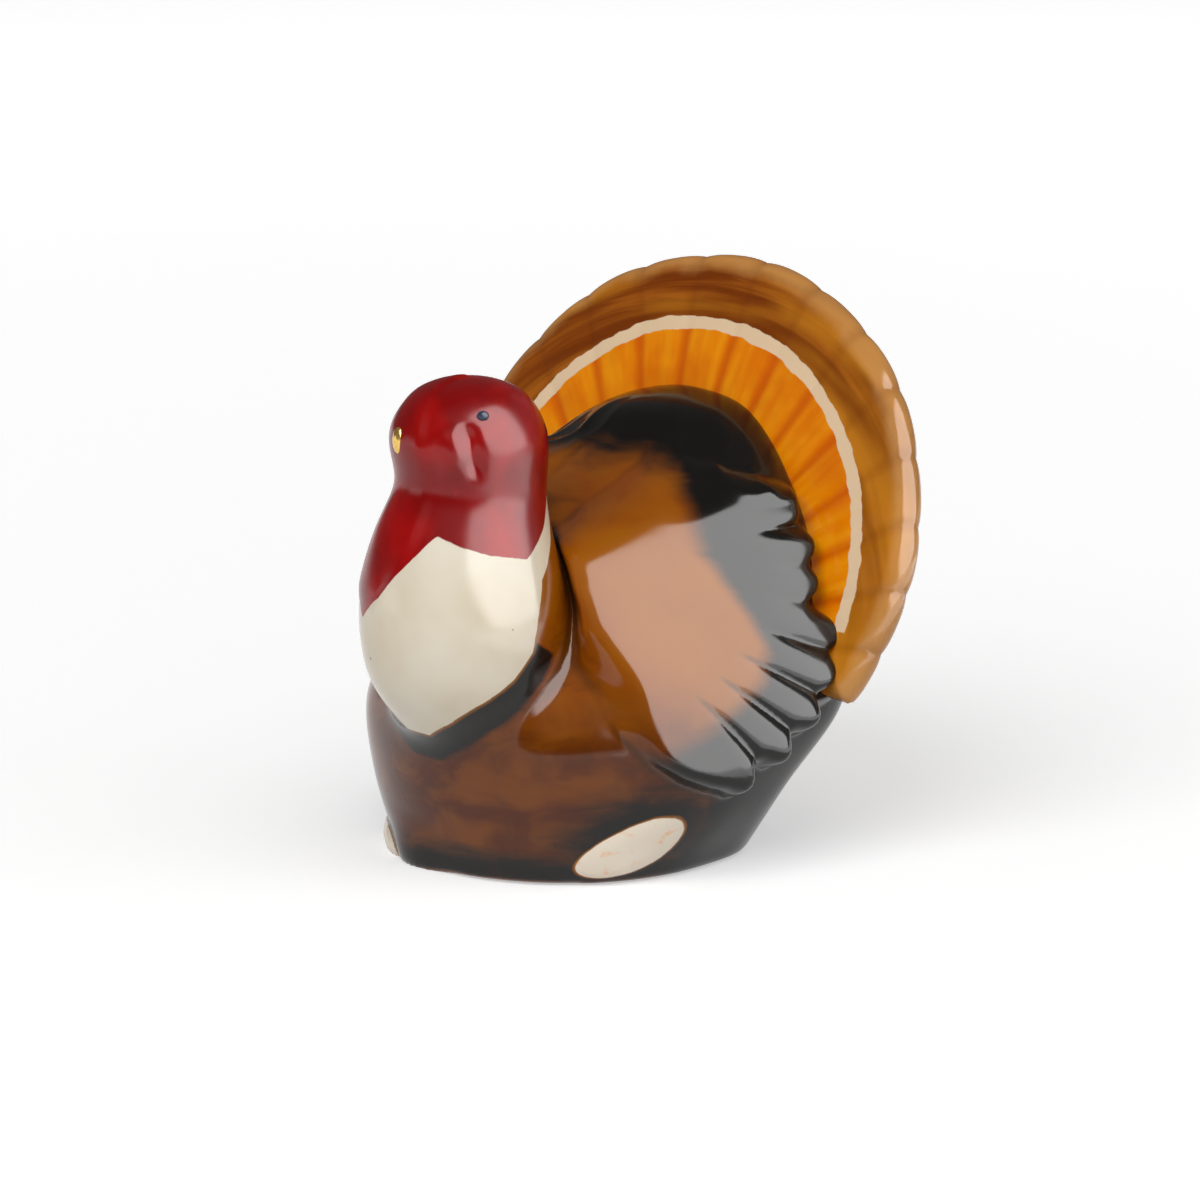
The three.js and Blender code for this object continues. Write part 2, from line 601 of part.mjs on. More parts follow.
// Head with sockets for its beads; the right eye mirrors the left one about the beak
const beads = [
  { name: 'beak', size: BEAK, turn: 0, glaze: 'gold' },
  { name: 'eye_left', size: EYE, turn: EYE.turn, glaze: 'black' },
  { name: 'eye_right', size: EYE, turn: -EYE.turn, glaze: 'black' },
];
const head = beads.reduce(
  (solid, { size, turn }) => solid.subtract(toSolid(bead(headForm, size, turn, SEAM))),
  toSolid(loft(headForm, LOBE_MESH)),
);

// Fan seated round the torso, and wings between torso, breast and fan
const fan = toSolid(fanPlate()).subtract(torsoClearance);
const wing = toSolid(wingShell(torsoForm, breastForm, panelForm))
  .subtract(torsoClearance)
  .subtract(breastClearance)
  .subtract(toSolid(fanPlate(SEAM)));
const wingLeft = toGeometry(wing);
const [footLeft, footRight] = [LEFT_FOOT, RIGHT_FOOT].map((foot) => {
  const pad = toSolid(footPad(torsoForm, foot)).subtract(torsoClearance);
  return toGeometry(pad.trimByPlane([0, 0, 1], FOOT.floorGap));
});

const turkey = new THREE.Group();
turkey.add(
  glazed('torso', toGeometry(body), 'brown'),
  glazed('head', toGeometry(head), 'red'),
  glazed('wattle', wattleApron(breastForm), 'red'),
  glazed('wing_left', wingLeft, 'wing'),
  glazed('wing_right', mirrored(wingLeft), 'wing'),
  glazed('tail_fan', toGeometry(fan), 'amber'),
  glazed('foot_left', footLeft, 'cream'),
  glazed('foot_right', mirrored(footRight), 'cream'),
  ...beads.map(({ name, size, turn, glaze }) => glazed(name, bead(headForm, size, turn), glaze)),
);

export default turkey;
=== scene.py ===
"""Glazed ceramic turkey figure: the looks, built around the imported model.

Shapes are worked out in millimetres and turned into metres when an object is made. The bird stands on
the origin and faces -Y, with its left side at +X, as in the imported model. Angles are in degrees, and a
turn counts from the front toward the left side.
"""
import math

import bmesh
import bpy
import numpy as np
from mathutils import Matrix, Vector


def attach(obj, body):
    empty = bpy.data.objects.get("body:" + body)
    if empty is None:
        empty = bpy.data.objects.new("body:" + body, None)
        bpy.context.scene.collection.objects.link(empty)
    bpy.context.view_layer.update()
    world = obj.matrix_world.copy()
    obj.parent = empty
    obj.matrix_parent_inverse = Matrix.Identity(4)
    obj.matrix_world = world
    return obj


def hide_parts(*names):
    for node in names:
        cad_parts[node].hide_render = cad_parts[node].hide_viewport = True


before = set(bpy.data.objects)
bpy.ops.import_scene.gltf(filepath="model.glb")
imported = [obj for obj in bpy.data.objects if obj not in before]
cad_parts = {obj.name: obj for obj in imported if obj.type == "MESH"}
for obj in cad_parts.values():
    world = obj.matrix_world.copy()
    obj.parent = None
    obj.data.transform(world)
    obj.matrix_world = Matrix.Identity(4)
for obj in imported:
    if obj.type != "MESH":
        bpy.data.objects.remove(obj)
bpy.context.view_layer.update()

MM = 0.001

# Torso sections: rise over the one below, middle, half width, depth in front and behind the middle
TORSO_SECTIONS = (
    (0, 0, 18.2, 18.7, 12.7),
    (1.6, 0.4, 18.9, 18.5, 12.9),
    (6.4, 3, 22.6, 22.2, 11.8),
    (8, 7, 25.2, 26.2, 14.8),
    (7, 9.6, 22.8, 23.6, 13.5),
    (7, 12, 21, 20.6, 7.2),
    (5, 13.7, 19, 18.6, 5.2),
    (6, 16.2, 13.4, 9.2, 4.8),
    (4, 18.2, 7.2, 6.9, 3.6),
    (1.6, 19, 0, 0, 0),
)
TORSO_BACK_POWER = 4
DRAIN_RADIUS = 4
DRAIN_SETBACK = 6
DRAIN_DEPTH = 9

# Breast and neck sections: rise, middle, radius
BREAST_FOOT = 11
BREAST_SECTIONS = (
    (0, -13, 0),
    (2, -13.2, 5.2),
    (3, -13.8, 8.1),
    (5, -15, 10.3),
    (7, -15.6, 10.7),
    (7, -15.5, 9.1),
    (6, -14.4, 7.2),
)
NECK_SEAM = {"height": 41.15, "in_front_of": -4}

# Head sections: rise, half width, depth in front and behind
HEAD_TURN = -20
HEAD_SETBACK = -14.8
HEAD_FOOT = 39
HEAD_SECTIONS = (
    (0, 7.2, 6.4, 7.8),
    (2.3, 7.6, 6.8, 8.1),
    (4.7, 7.7, 7.8, 8.1),
    (3.7, 5.9, 5.7, 6.1),
    (1.6, 3.2, 2.9, 3.2),
    (0.6, 0, 0, 0),
)
BEAK = {"height": 45.9, "turn": 0, "across": 1.6, "tall": 2.8, "deep": 1.3}
EYE = {"height": 48.9, "turn": 77, "across": 1.25, "tall": 1.05, "deep": 0.8}
CHEEK_CREASE = {
    "turn": 66, "lean": 2.6, "top": 48.0, "bottom": 43.4, "width": 0.9, "depth": 0.75,
    "swell": 0.4, "swell_width": 1.5, "swell_ahead": 2.1,
    "fade": ((-0.35, 0.2), (0.75, 1.15)), "chart_radius": 7.8, "in_front_of": -4,
}

# Beads: points around and along one, and its last tilt in radians
BEAD_GRID = (40, 25)
BEAD_TILT = 1.5

# Covert feathers carved on the crown: turn, height and radius of each crescent
CRESCENTS = ((78, 41.5, 3.4), (58, 43.2, 3.0), (96, 39.5, 3.2), (34, 44.2, 2.6))
CARVING = {
    "ridge": 0.13, "ridge_width": 0.6, "dish": 0.1, "dish_width": 1.2,
    "lower": (-0.5, 0.4), "chart_radius": 12, "above": 37, "behind": 2,
}

# Wattle apron on the breast
WATTLE = {
    "turn": -30, "half_angle": 46, "top": 41.2, "tip": 28.2, "tip_slope": 8, "proud": 0.3, "edge": 1.6,
    "chart_radius": 9, "off_breast": 2, "in_front_of": -8,
}

# Wing: a flatter panel off the torso, with feathers spread from a root in front of it
WING_PANEL = {"turn": 70, "foot": 6, "front_radius": 38, "rear_radius": 44, "least_cosine": 0.2}
WING_PANEL_SECTIONS = ((0, 26), (7, 27.2), (7, 26.3), (7, 23.8), (8, 19.8), (8, 13.4))
WING_LIMITS = {"low": 7, "high": 43, "front": -30, "rear": 20}
WING_ROOT = (-25, 35.5)
WING_FEATHERS = {"lowest": -40.5, "pitch": 6, "bluntness": 2.5, "steps": 24}
WING_TIPS = (39.8, 41.2, 42, 41.6, 41.4, 36.2, 35.2, 33)
WING_NOTCH = {"lowest": 2.4, "highest": 0.1}
WING_FRONT = {"reach": 1, "bow": 6, "middle": -18, "spread": 48, "steps": 60}

# Lower and upper edge of the wing: direction and reach from the root
WING_LOW_EDGE = ((-66, 12), (-60, 18), (-56, 23), (-52, 28), (-48.5, 32), (-45.5, 35.2))
WING_HIGH_EDGE = ((7.5, 28.5), (12, 24), (17, 20), (24, 16))

# Rise of the wing: soft at the shoulder, crisp at the tips and clear of the breast
WING_MELT = {"soft": 5.5, "tip": 1.5, "crisp": (17, 30)}
BREAST_GAP = (0.2, 2.4)
WING_OFF_BREAST = 0.8

# The right wing rises only behind this turn or above this height
RIGHT_WING_START = {"turn": (56, 80), "height": (17, 24)}

# Grooves between the feathers: reach where each starts, and depth
WING_VALLEYS = ((23, 0.6), (24, 0.6), (25, 0.6), (26, 0.55), (27, 0.3), (27, 0.3), (25, 1.2))
VALLEY = {"run": 9, "sharpness": 3, "edge": 0.8}

# Tail fan
FAN = {
    "half_width": 32, "half_height": 30.5, "thickness": 4,
    "height": 31.5, "setback": 15.75, "lean": 19.5,
}
FAN_FEATHERS = {
    "count": 17, "pitch": 11.2, "quill_drop": 12, "scallop": 0.25,
    "groove": 0.24, "groove_width": 0.96, "grooved": (0.35, 0.85),
}
FAN_ROUNDOVER = 2.2
FAN_WAVE = {"depth": 0.1, "rate": 11.7}
FAN_LINE = {"radius": 26.5, "drop": 3.9, "half_width": 0.75, "end": -7.5}
FAN_STROKE_RADIUS = 25
FAN_GRID = {
    "per_feather": 20, "plain_rows": 56, "edge_rows": 16, "start": 0.12, "edge": 0.12, "first": 0.93,
}

# Points nearer than this are joined, in metres
WELD_DISTANCE = 2e-7

# Foot pads: the right one sits lower and further forward
LEFT_FOOT = {"turn": 58, "height": 3.9, "rise": 21, "half_width": 2.9}
RIGHT_FOOT = {"turn": 42, "height": 0.5, "rise": 0, "half_width": 2.1}
FOOT_SIZE = {"half_length": 5.3, "taper": 0.25, "chart_radius": 20, "above": 0.15, "below": 12}
FOOT_PROUD = {"bottom": 0.6, "top": 0.3, "height": 6, "right": 1.0, "edge": 1.3}
RIM_SWELL = {"turn": -18, "half_angle": 13, "proud": 1.1, "fade": (1.5, 6)}

# Body mesh
TORSO_GRID = (160, 150)
LOBE_GRID = (110, 100)
CLOSED_END = 0.02
BODY_GROW = 0.12
VOXEL = 0.27
SMOOTHING_SHARE = 0.5
SMOOTHING_ROUNDS = 50
WING_SMOOTHING_ROUNDS = 7
RELIEF_ROUNDS = 3
UNDER_BREAST = {"rounds": 160, "height": ((8, 12), (15, 22)), "turn": (22, 38)}
NECK_BLEND = {"rounds": 60, "height": ((36, 39.5), (43, 46.5)), "setback": (-8, -4)}
WOBBLE = {"depth": 0.09, "size": 17, "waves": 6, "seed": 3, "above": (1, 5)}
FLAT_FOOT = 0.02

# Hidden layer below the pieces that are let into the torso
INLAY_DEPTH = 1.5

# Painted fields on the breast: turn and height of the red edge and of the bib's left half
COLLAR = (
    (-180, 43), (-150, 39), (-121, 35.1), (-84, 37), (-69, 34.6), (-59, 32.5), (-49, 30.3),
    (-30, 27.6), (-11, 30.3), (-1, 32.5), (9, 34.6), (24, 37), (40, 36.1), (61, 35.1),
    (87, 34.3), (112, 37.2), (140, 41), (180, 43),
)
COLLAR_SLOPE = 0.8
BIB_SIDE = (
    (24, 38.5), (61, 38.5), (95, 38.5), (138, 42.5), (148, 41.5), (116, 35), (97, 32),
    (89, 28.5), (83, 25), (70, 22.4), (56, 20.5), (30, 17.7), (5, 15.6),
)
BIB_MIDDLE = -8
BREAST_PAINT = {"off_breast": (2.5, 0.5), "beside_wing": (-3, 0), "in_front_of": -3, "chart_radius": 10}

# Black crown by turn and height, and black feathers by direction and reach from the wing's root
CROWN_EDGE = ((0, 41), (22, 41.6), (42, 41), (58, 39.2), (62, 37.4), (66, 35.4), (80, 32), (180, 32))
WING_BLACK = (
    (-60, 26), (-44, 28), (-36, 29.5), (-28, 31), (-23, 29.9), (-15, 24.4), (-11, 22.3),
    (-6, 19.9), (9, 18.6), (60, 18),
)

# Black brush strokes, with painted shade in the crease beside the breast and in the band under the bib:
# where each lies and how soft it is
DARK_CROWN = {"edge": (-4.2, 2.6), "on_wing": (-4, 4)}
DARK_FEATHERS = (-3.6, 3.6)
DARK_REAR = {"turn": (58, 88), "thinning": 0.25, "thin_turn": (120, 160)}
DARK_FOOT = {"weight": 1.1, "turn": 60, "turn_spread": 26, "height": 5.2, "height_spread": 5.6}
DARK_BASE = {"weight": 0.85, "height": ((0.2, 0.7), (1.2, 6.0))}
# Dark band under the bib: partly black paint, partly painted shade under the breast's bulge
BAND_AND_SHADE = {"off_bib": (-4.2, -2.0), "below": 17, "in_front_of": -6, "fade": (30, 34)}
# Painted shade: a dark line in the crease between the breast and the wing
CREASE_SHADE = {"weight": 0.8, "off_breast": 1.2, "width": 1.4, "height": ((24, 30), (35.5, 38.5))}
WING_PAINT_EDGE = (-0.3, 0.3)

# Glaze that pools in hollows: depth of a full pool, in squared voxels
POOL = {"depth": 0.1, "rounds": 4}

# Value of a border at places that its field can't reach
OUTSIDE = -9.0

# Camera of the photograph; the nearest distance that it sees is in metres
CAMERA = {"azimuth": 42, "elevation": 12.4, "distance": 520, "target_height": 28, "lens": 148.5}
CAMERA_SLIDE = {"right": 3.57, "up": -1.83}
SENSOR_WIDTH = 36
NEAREST_SEEN = 0.01

# Stage: turns from the camera's side, and lamp distances and sizes in metres
FLOOR_HALF_WIDTH = 5000
FLOOR_GREY = (0.75, 0.75, 0.75, 1)
FLOOR_GLOW = {"From Min": 0.05, "From Max": 0.7, "To Min": 0.44, "To Max": 0.77}
WORLD_LEVEL = 0.1
SOFTBOX = {"from": 8, "to": 92, "top": 58, "distance": 0.62, "radiance": 0.7}
SHEEN = {"from": 4, "to": 92, "top": 68, "distance": 0.6, "radiance": 7.0, "corner": (0.25, 0.45)}
CARD = {"turn": 62, "spread": 24, "near": 0.09, "far": 0.58, "radiance": 2.6}
SIDE = {"from": 93, "to": 150, "top": 45, "distance": 0.8, "radiance": 0.16}
STRIP = {"from": -100, "to": -72, "top": 10, "distance": 0.8, "radiance": 1.2}
FILLS = (
    {"turn": -30, "elevation": 45, "distance": 1.2, "size": 1.0, "energy": 8.0},
    {"turn": 40, "elevation": 70, "distance": 1.2, "size": 1.0, "energy": 3.0},
)


def smoothstep(value, low, high):
    share = np.clip((np.asarray(value, float) - low) / (high - low), 0, 1)
    return share * share * (3 - 2 * share)


def lerp(start, end, share):
    return start + (end - start) * share


def between(value, start, end):
    """1 between two soft ends and 0 outside them."""
    return smoothstep(value, *start) * (1 - smoothstep(value, *end))


def along_edge(place, edge):
    """Value of an edge, given as pairs, at places along it."""
    return np.interp(place, *np.array(edge, float).T)


def full_turn(count):
    """Angles round a circle, in radians."""
    return np.linspace(0, 2 * np.pi, count, endpoint=False)


class Form:
    """A stack of sections with smooth sizes between them, turned about its upright axis."""

    def __init__(self, sections, foot=0.0, turn=0.0, back_power=2.0):
        rows = np.array(sections, float)
        self.sizes = dict(zip(("middle", "half_width", "front", "back"), rows[:, 1:].T))
        self.sizes["height"] = foot + np.cumsum(rows[:, 0])
        self.turn = math.radians(turn)
        self.back_power = back_power
        self.last = len(rows) - 1
        self.steps = np.linspace(0, self.last, 2000)
        self.heights = self.size("height", self.steps)

    def size(self, name, step):
        """Catmull-Rom value of one size, where step counts sections from 0."""
        values = self.sizes[name]
        step = np.asarray(step, float)
        index = np.clip(np.floor(step).astype(int), 0, self.last - 1)
        share = step - index
        before = values[np.clip(index - 1, 0, self.last)]
        start = values[index]
        end = values[index + 1]
        after = values[np.clip(index + 2, 0, self.last)]
        slope_start = (end - before) / 2
        slope_end = (after - start) / 2
        cubic = 2 * start - 2 * end + slope_start + slope_end
        square = 3 * end - 3 * start - 2 * slope_start - slope_end
        return ((cubic * share + square) * share + slope_start) * share + start

    def step_at(self, height):
        return np.interp(height, self.heights, self.steps)

    def at_height(self, name, height):
        return self.size(name, self.step_at(height))

    def skin(self, step, angle):
        """Points at steps and at angles from the front toward the left side."""
        side, ahead = np.abs(np.sin(angle)), np.abs(np.cos(angle))
        front = np.cos(angle) > 0
        power = np.where(front, 2.0, self.back_power)
        depth = np.where(front, self.size("front", step), self.size("back", step))
        depth = np.maximum(depth, 1e-6)
        width = np.maximum(self.size("half_width", step), 1e-6)
        reach = ((side / width) ** power + (ahead / depth) ** power) ** (-1 / power)
        turned = angle + self.turn
        middle = self.size("middle", step)
        height = self.size("height", step) + 0 * reach
        return np.stack([reach * np.sin(turned), middle - reach * np.cos(turned), height], -1)

    def over_skin(self, step, angle, distance):
        """Skin points moved out along the normals."""
        nudge = 0.01
        below = np.maximum(step - nudge, 0)
        above = np.minimum(step + nudge, self.last - nudge)
        upward = self.skin(above, angle) - self.skin(below, angle)
        around = self.skin(step, angle + nudge) - self.skin(step, angle - nudge)
        normal = np.cross(around, upward)
        normal /= np.linalg.norm(normal, axis=-1, keepdims=True)
        return self.skin(step, angle) + normal * np.asarray(distance)[..., None]

    def angle_of(self, points):
        """Degrees from the front toward the left side, about the form's own middle at each height."""
        middle = self.at_height("middle", points[:, 2])
        return np.degrees(np.arctan2(points[:, 0], middle - points[:, 1]) - self.turn)

    def from_middle(self, points):
        """Level distance from the form's own middle at each height."""
        return np.hypot(points[:, 0], points[:, 1] - self.at_height("middle", points[:, 2]))


def round_sections(sections):
    return [(rise, middle, radius, radius, radius) for rise, middle, radius in sections]


def head_sections(sections):
    return [(rise, HEAD_SETBACK, *sizes) for rise, *sizes in sections]


torso_form = Form(TORSO_SECTIONS, back_power=TORSO_BACK_POWER)
breast_form = Form(round_sections(BREAST_SECTIONS), foot=BREAST_FOOT)
head_form = Form(head_sections(HEAD_SECTIONS), foot=HEAD_FOOT, turn=HEAD_TURN)
panel_sections = [(rise, 0, reach) for rise, reach in WING_PANEL_SECTIONS]
panel_form = Form(round_sections(panel_sections), foot=WING_PANEL["foot"])


# Mesh helpers

def grid_faces(rows, columns, wrap, start=0, flip=False):
    """Quads between rows of points that are numbered row by row."""
    numbers = start + np.arange(rows * columns).reshape(rows, columns)
    if wrap:
        numbers = np.concatenate([numbers, numbers[:, :1]], axis=1)
    quads = np.stack([numbers[:-1, :-1], numbers[:-1, 1:], numbers[1:, 1:], numbers[1:, :-1]], -1)
    quads = quads.reshape(-1, 4)
    return quads[:, ::-1] if flip else quads


def linked(name, data):
    """A new object in the scene."""
    made = bpy.data.objects.new(name, data)
    bpy.context.scene.collection.objects.link(made)
    return made


def make_object(name, points, faces, normals=None, attributes=None):
    """Smooth-shaded object in metres, with named float or vector values on its points."""
    mesh = bpy.data.meshes.new(name)
    mesh.from_pydata((np.asarray(points) * MM).tolist(), [], [list(map(int, face)) for face in faces])
    mesh.validate()
    mesh.shade_smooth()
    for key, values in (attributes or {}).items():
        values = np.ascontiguousarray(values, np.float32)
        vector = values.ndim == 2
        layer = mesh.attributes.new(key, "FLOAT_VECTOR" if vector else "FLOAT", "POINT")
        layer.data.foreach_set("vector" if vector else "value", values.ravel())
    if normals is not None:
        mesh.normals_split_custom_set_from_vertices(normals.tolist())
    return linked(name, mesh)


def ring_solid(rings):
    """Closed mesh from rings of equal length, with both ends capped."""
    columns = len(rings[0])
    points = np.concatenate(rings)
    faces = [tuple(face) for face in grid_faces(len(rings), columns, True)]
    faces.append(tuple(range(columns))[::-1])
    faces.append(tuple(range((len(rings) - 1) * columns, len(rings) * columns)))
    return points, faces


def joined(parts):
    """Points and faces of several solids as one list of each."""
    points, faces, start = [], [], 0
    for part_points, part_faces in parts:
        points.append(part_points)
        faces.extend([tuple(number + start for number in face) for face in part_faces])
        start += len(part_points)
    return np.concatenate(points), faces


def loft_rings(form, around, rows, grow):
    """Rings up a form, grown a little off its skin."""
    angles = full_turn(around)
    end = form.last - CLOSED_END
    start = CLOSED_END if form.sizes["half_width"][0] == 0 else 0.0
    return [form.over_skin(np.full(around, step), angles, np.full(around, grow))
            for step in np.linspace(start, end, rows)]


def torso_rings(around, rows):
    """The torso's rings, after those of the drain hole in its flat foot."""
    angles = full_turn(around)
    circle = np.stack([np.sin(angles), -np.cos(angles), np.zeros(around)], -1) * DRAIN_RADIUS
    mouth = circle + (0, DRAIN_SETBACK, 0)
    rings = loft_rings(torso_form, around, rows, BODY_GROW)
    for ring in rings:
        ring[:, 2] = np.maximum(ring[:, 2], 0)
    return [mouth + (0, 0, DRAIN_DEPTH), mouth, *rings]


def voxel_union(points, faces, voxel):
    """One skin round overlapping solids; the remesh works in millimetres."""
    mesh = bpy.data.meshes.new("union")
    mesh.from_pydata(points.tolist(), [], faces)
    helper = linked("union", mesh)
    remesh = helper.modifiers.new("remesh", "REMESH")
    remesh.mode = "VOXEL"
    remesh.voxel_size = voxel
    evaluated = helper.evaluated_get(bpy.context.evaluated_depsgraph_get())
    skin = evaluated.to_mesh()
    new_points = np.empty(len(skin.vertices) * 3)
    skin.vertices.foreach_get("co", new_points)
    new_faces = np.array([tuple(polygon.vertices) for polygon in skin.polygons])
    evaluated.to_mesh_clear()
    bpy.data.objects.remove(helper)
    bpy.data.meshes.remove(mesh)
    return new_points.reshape(-1, 3), new_faces


def sides_of(quads):
    """Each quad's sides as pairs of point numbers, in the direction that the quad runs."""
    return np.concatenate([quads[:, [i, (i + 1) % 4]] for i in range(4)])


def edges_of(quads):
    return np.unique(np.sort(sides_of(quads), axis=1), axis=0)


def neighbour_mean(values, edges):
    """Mean of the neighbours' values at each point."""
    count = np.bincount(edges.ravel(), minlength=len(values))
    total = np.zeros_like(values)
    for axis in range(values.shape[1]):
        column = values[:, axis]
        total[:, axis] = np.bincount(edges[:, 0], column[edges[:, 1]], len(values))
        total[:, axis] += np.bincount(edges[:, 1], column[edges[:, 0]], len(values))
    return total / count[:, None]


def smoothed(values, edges, rounds, share=SMOOTHING_SHARE):
    for _ in range(rounds):
        values = values + share * (neighbour_mean(values, edges) - values)
    return values


def point_normals(points, faces):
    first, second, third, fourth = (points[faces[:, corner]] for corner in range(4))
    crosses = np.cross(third - first, fourth - second)
    normals = np.zeros_like(points)
    for corner in range(4):
        for axis in range(3):
            normals[:, axis] += np.bincount(faces[:, corner], crosses[:, axis], len(points))
    return normals / np.maximum(np.linalg.norm(normals, axis=1, keepdims=True), 1e-9)


def hand_wobble(points):
    """Soft unevenness from a few crossing waves, about -1 to 1."""
    rng = np.random.default_rng(WOBBLE["seed"])
    total = np.zeros(len(points))
    for _ in range(WOBBLE["waves"]):
        direction = rng.normal(size=3)
        direction /= np.linalg.norm(direction)
        rate = 2 * np.pi / WOBBLE["size"] * rng.uniform(0.7, 1.4)
        total += np.sin(points @ direction * rate + rng.uniform(0, 6.28))
    return total * 2 / WOBBLE["waves"]


# Wing chart: places on a flatter panel that stands off the torso

def panel_chart(points):
    """Each point's place along the panel, and the panel's distance from the torso's middle there."""
    middle = torso_form.at_height("middle", points[:, 2])
    turn = np.arctan2(np.abs(points[:, 0]), middle - points[:, 1]) - math.radians(WING_PANEL["turn"])
    reach = panel_form.at_height("half_width", points[:, 2])
    radius = np.where(turn < 0, WING_PANEL["front_radius"], WING_PANEL["rear_radius"])
    bend = np.sin(turn) ** 2 / (2 * radius)
    straight = np.maximum(np.cos(turn), WING_PANEL["least_cosine"])
    distance = 2 * reach / (straight + np.sqrt(straight ** 2 + 4 * bend * reach))
    return distance * np.sin(turn), distance


def wing_polar(along, height):
    """Direction in degrees and reach from the root that the feathers spread from."""
    ahead, up = along - WING_ROOT[0], height - WING_ROOT[1]
    return np.degrees(np.arctan2(up, ahead)), np.hypot(ahead, up)


def wing_outline():
    """Corners of the wing's edge on its panel, round the front and over the feather tips."""
    count, pitch = len(WING_TIPS), WING_FEATHERS["pitch"]
    start = WING_FEATHERS["lowest"] - pitch / 2
    tips = np.array(WING_TIPS, float)
    notches = np.minimum(np.append(tips[0], tips), np.append(tips, tips[-1]))
    notches -= np.linspace(WING_NOTCH["lowest"], WING_NOTCH["highest"], count + 1)
    direction = np.linspace(start, start + count * pitch, count * WING_FEATHERS["steps"] + 1)
    feather = np.clip(((direction - start) / pitch).astype(int), 0, count - 1)
    share = (direction - start) / pitch - feather
    border = np.where(share < 0.5, notches[feather], notches[feather + 1])
    reach = lerp(tips[feather], border, np.abs(2 * share - 1) ** WING_FEATHERS["bluntness"])
    low, high = np.array(WING_LOW_EDGE, float).T, np.array(WING_HIGH_EDGE, float).T
    front = np.linspace(high[0][-1], low[0][0], WING_FRONT["steps"])[1:-1]
    bow = WING_FRONT["bow"] * ((front - WING_FRONT["middle"]) / WING_FRONT["spread"]) ** 2
    direction = np.radians(np.concatenate([low[0], direction, high[0], front]))
    reach = np.concatenate([low[1], reach, high[1], WING_FRONT["reach"] + bow])
    return np.stack([np.cos(direction), np.sin(direction)], -1) * reach[:, None] + WING_ROOT


def wing_values(points):
    """Distance inside the wing's edge, direction and reach on the panel, and the panel's distance."""
    height = points[:, 2]
    along, distance = panel_chart(points)
    direction, reach = wing_polar(along, height)
    inside = np.full(len(points), OUTSIDE)
    near = (height > WING_LIMITS["low"]) & (height < WING_LIMITS["high"])
    near &= (along > WING_LIMITS["front"]) & (along < WING_LIMITS["rear"])
    inside[near] = polygon_distance(np.stack([along, height], -1)[near], wing_outline())
    return inside, direction, reach, distance


def wing_rise(points):
    """How far the skin moves out to the panel, and the depth of the grooves between the feathers."""
    inside, direction, reach, distance = wing_values(points)
    crisp = smoothstep(reach, *WING_MELT["crisp"])
    share = np.clip(inside / lerp(WING_MELT["soft"], WING_MELT["tip"], crisp), 0, 1)
    profile = lerp(smoothstep(share, 0, 1), np.sqrt(1 - (1 - share) ** 2), crisp)
    profile = profile * smoothstep(breast_values(points)[1], *BREAST_GAP)
    rise = np.maximum(distance - torso_form.from_middle(points), 0) * profile
    turn = np.abs(torso_form.angle_of(points))
    started = smoothstep(turn, *RIGHT_WING_START["turn"])
    started = np.maximum(started, smoothstep(points[:, 2], *RIGHT_WING_START["height"]))
    rise *= np.where(points[:, 0] > 0, 1, started)
    groove = np.zeros(len(points))
    for border, (start, depth) in enumerate(WING_VALLEYS):
        valley = WING_FEATHERS["lowest"] + (border + 0.5) * WING_FEATHERS["pitch"]
        near = np.clip(1 - np.abs(direction - valley) / (WING_FEATHERS["pitch"] / 2), 0, 1)
        groove += depth * near ** VALLEY["sharpness"] * smoothstep(reach, start, start + VALLEY["run"])
    return rise, groove * np.clip(inside / VALLEY["edge"], 0, 1)


# Body: torso, breast, neck, head, wings and feet under one skin

def cheek_creases(points):
    """Relief of the creases between the face and the cheeks, with a swelling ahead of each."""
    angle = (head_form.angle_of(points) + 180) % 360 - 180
    share = (points[:, 2] - CHEEK_CREASE["bottom"]) / (CHEEK_CREASE["top"] - CHEEK_CREASE["bottom"])
    turn = CHEEK_CREASE["turn"] - CHEEK_CREASE["lean"] * (share - 0.5) * 2
    across = np.radians(np.abs(angle) - turn) * CHEEK_CREASE["chart_radius"]
    crease = CHEEK_CREASE["depth"] * np.exp(-(across / CHEEK_CREASE["width"]) ** 2)
    ahead = (across + CHEEK_CREASE["swell_ahead"]) / CHEEK_CREASE["swell_width"]
    swell = CHEEK_CREASE["swell"] * np.exp(-ahead ** 2)
    on_face = points[:, 1] < CHEEK_CREASE["in_front_of"]
    return between(share, *CHEEK_CREASE["fade"]) * (swell - crease) * on_face


def crown_carving(points):
    """Shallow crescents of covert feathers on the crown in front of the fan."""
    angle = np.abs(torso_form.angle_of(points))
    relief = np.zeros(len(points))
    for turn, height, radius in CRESCENTS:
        across = np.radians(angle - turn) * CARVING["chart_radius"]
        rise = points[:, 2] - height
        distance = np.hypot(across, rise)
        lower = smoothstep(-rise / radius, *CARVING["lower"])
        relief += CARVING["ridge"] * np.exp(-((distance - radius) / CARVING["ridge_width"]) ** 2) * lower
        relief -= CARVING["dish"] * np.exp(-(distance / CARVING["dish_width"]) ** 2)
    return relief * (points[:, 2] > CARVING["above"]) * (points[:, 1] > CARVING["behind"])


def pad_inside(points, foot):
    """Distance inside the edge of one foot's oval."""
    along = np.radians(np.abs(torso_form.angle_of(points)) - foot["turn"]) * FOOT_SIZE["chart_radius"]
    up = points[:, 2] - foot["height"]
    rise = math.radians(foot["rise"])
    length = along * math.cos(rise) + up * math.sin(rise)
    width = up * math.cos(rise) - along * math.sin(rise)
    taper = 1 + FOOT_SIZE["taper"] * np.clip(length / FOOT_SIZE["half_length"], -1, 1)
    share = np.hypot(length / FOOT_SIZE["half_length"], width / (foot["half_width"] * taper))
    return (1 - share) * foot["half_width"]


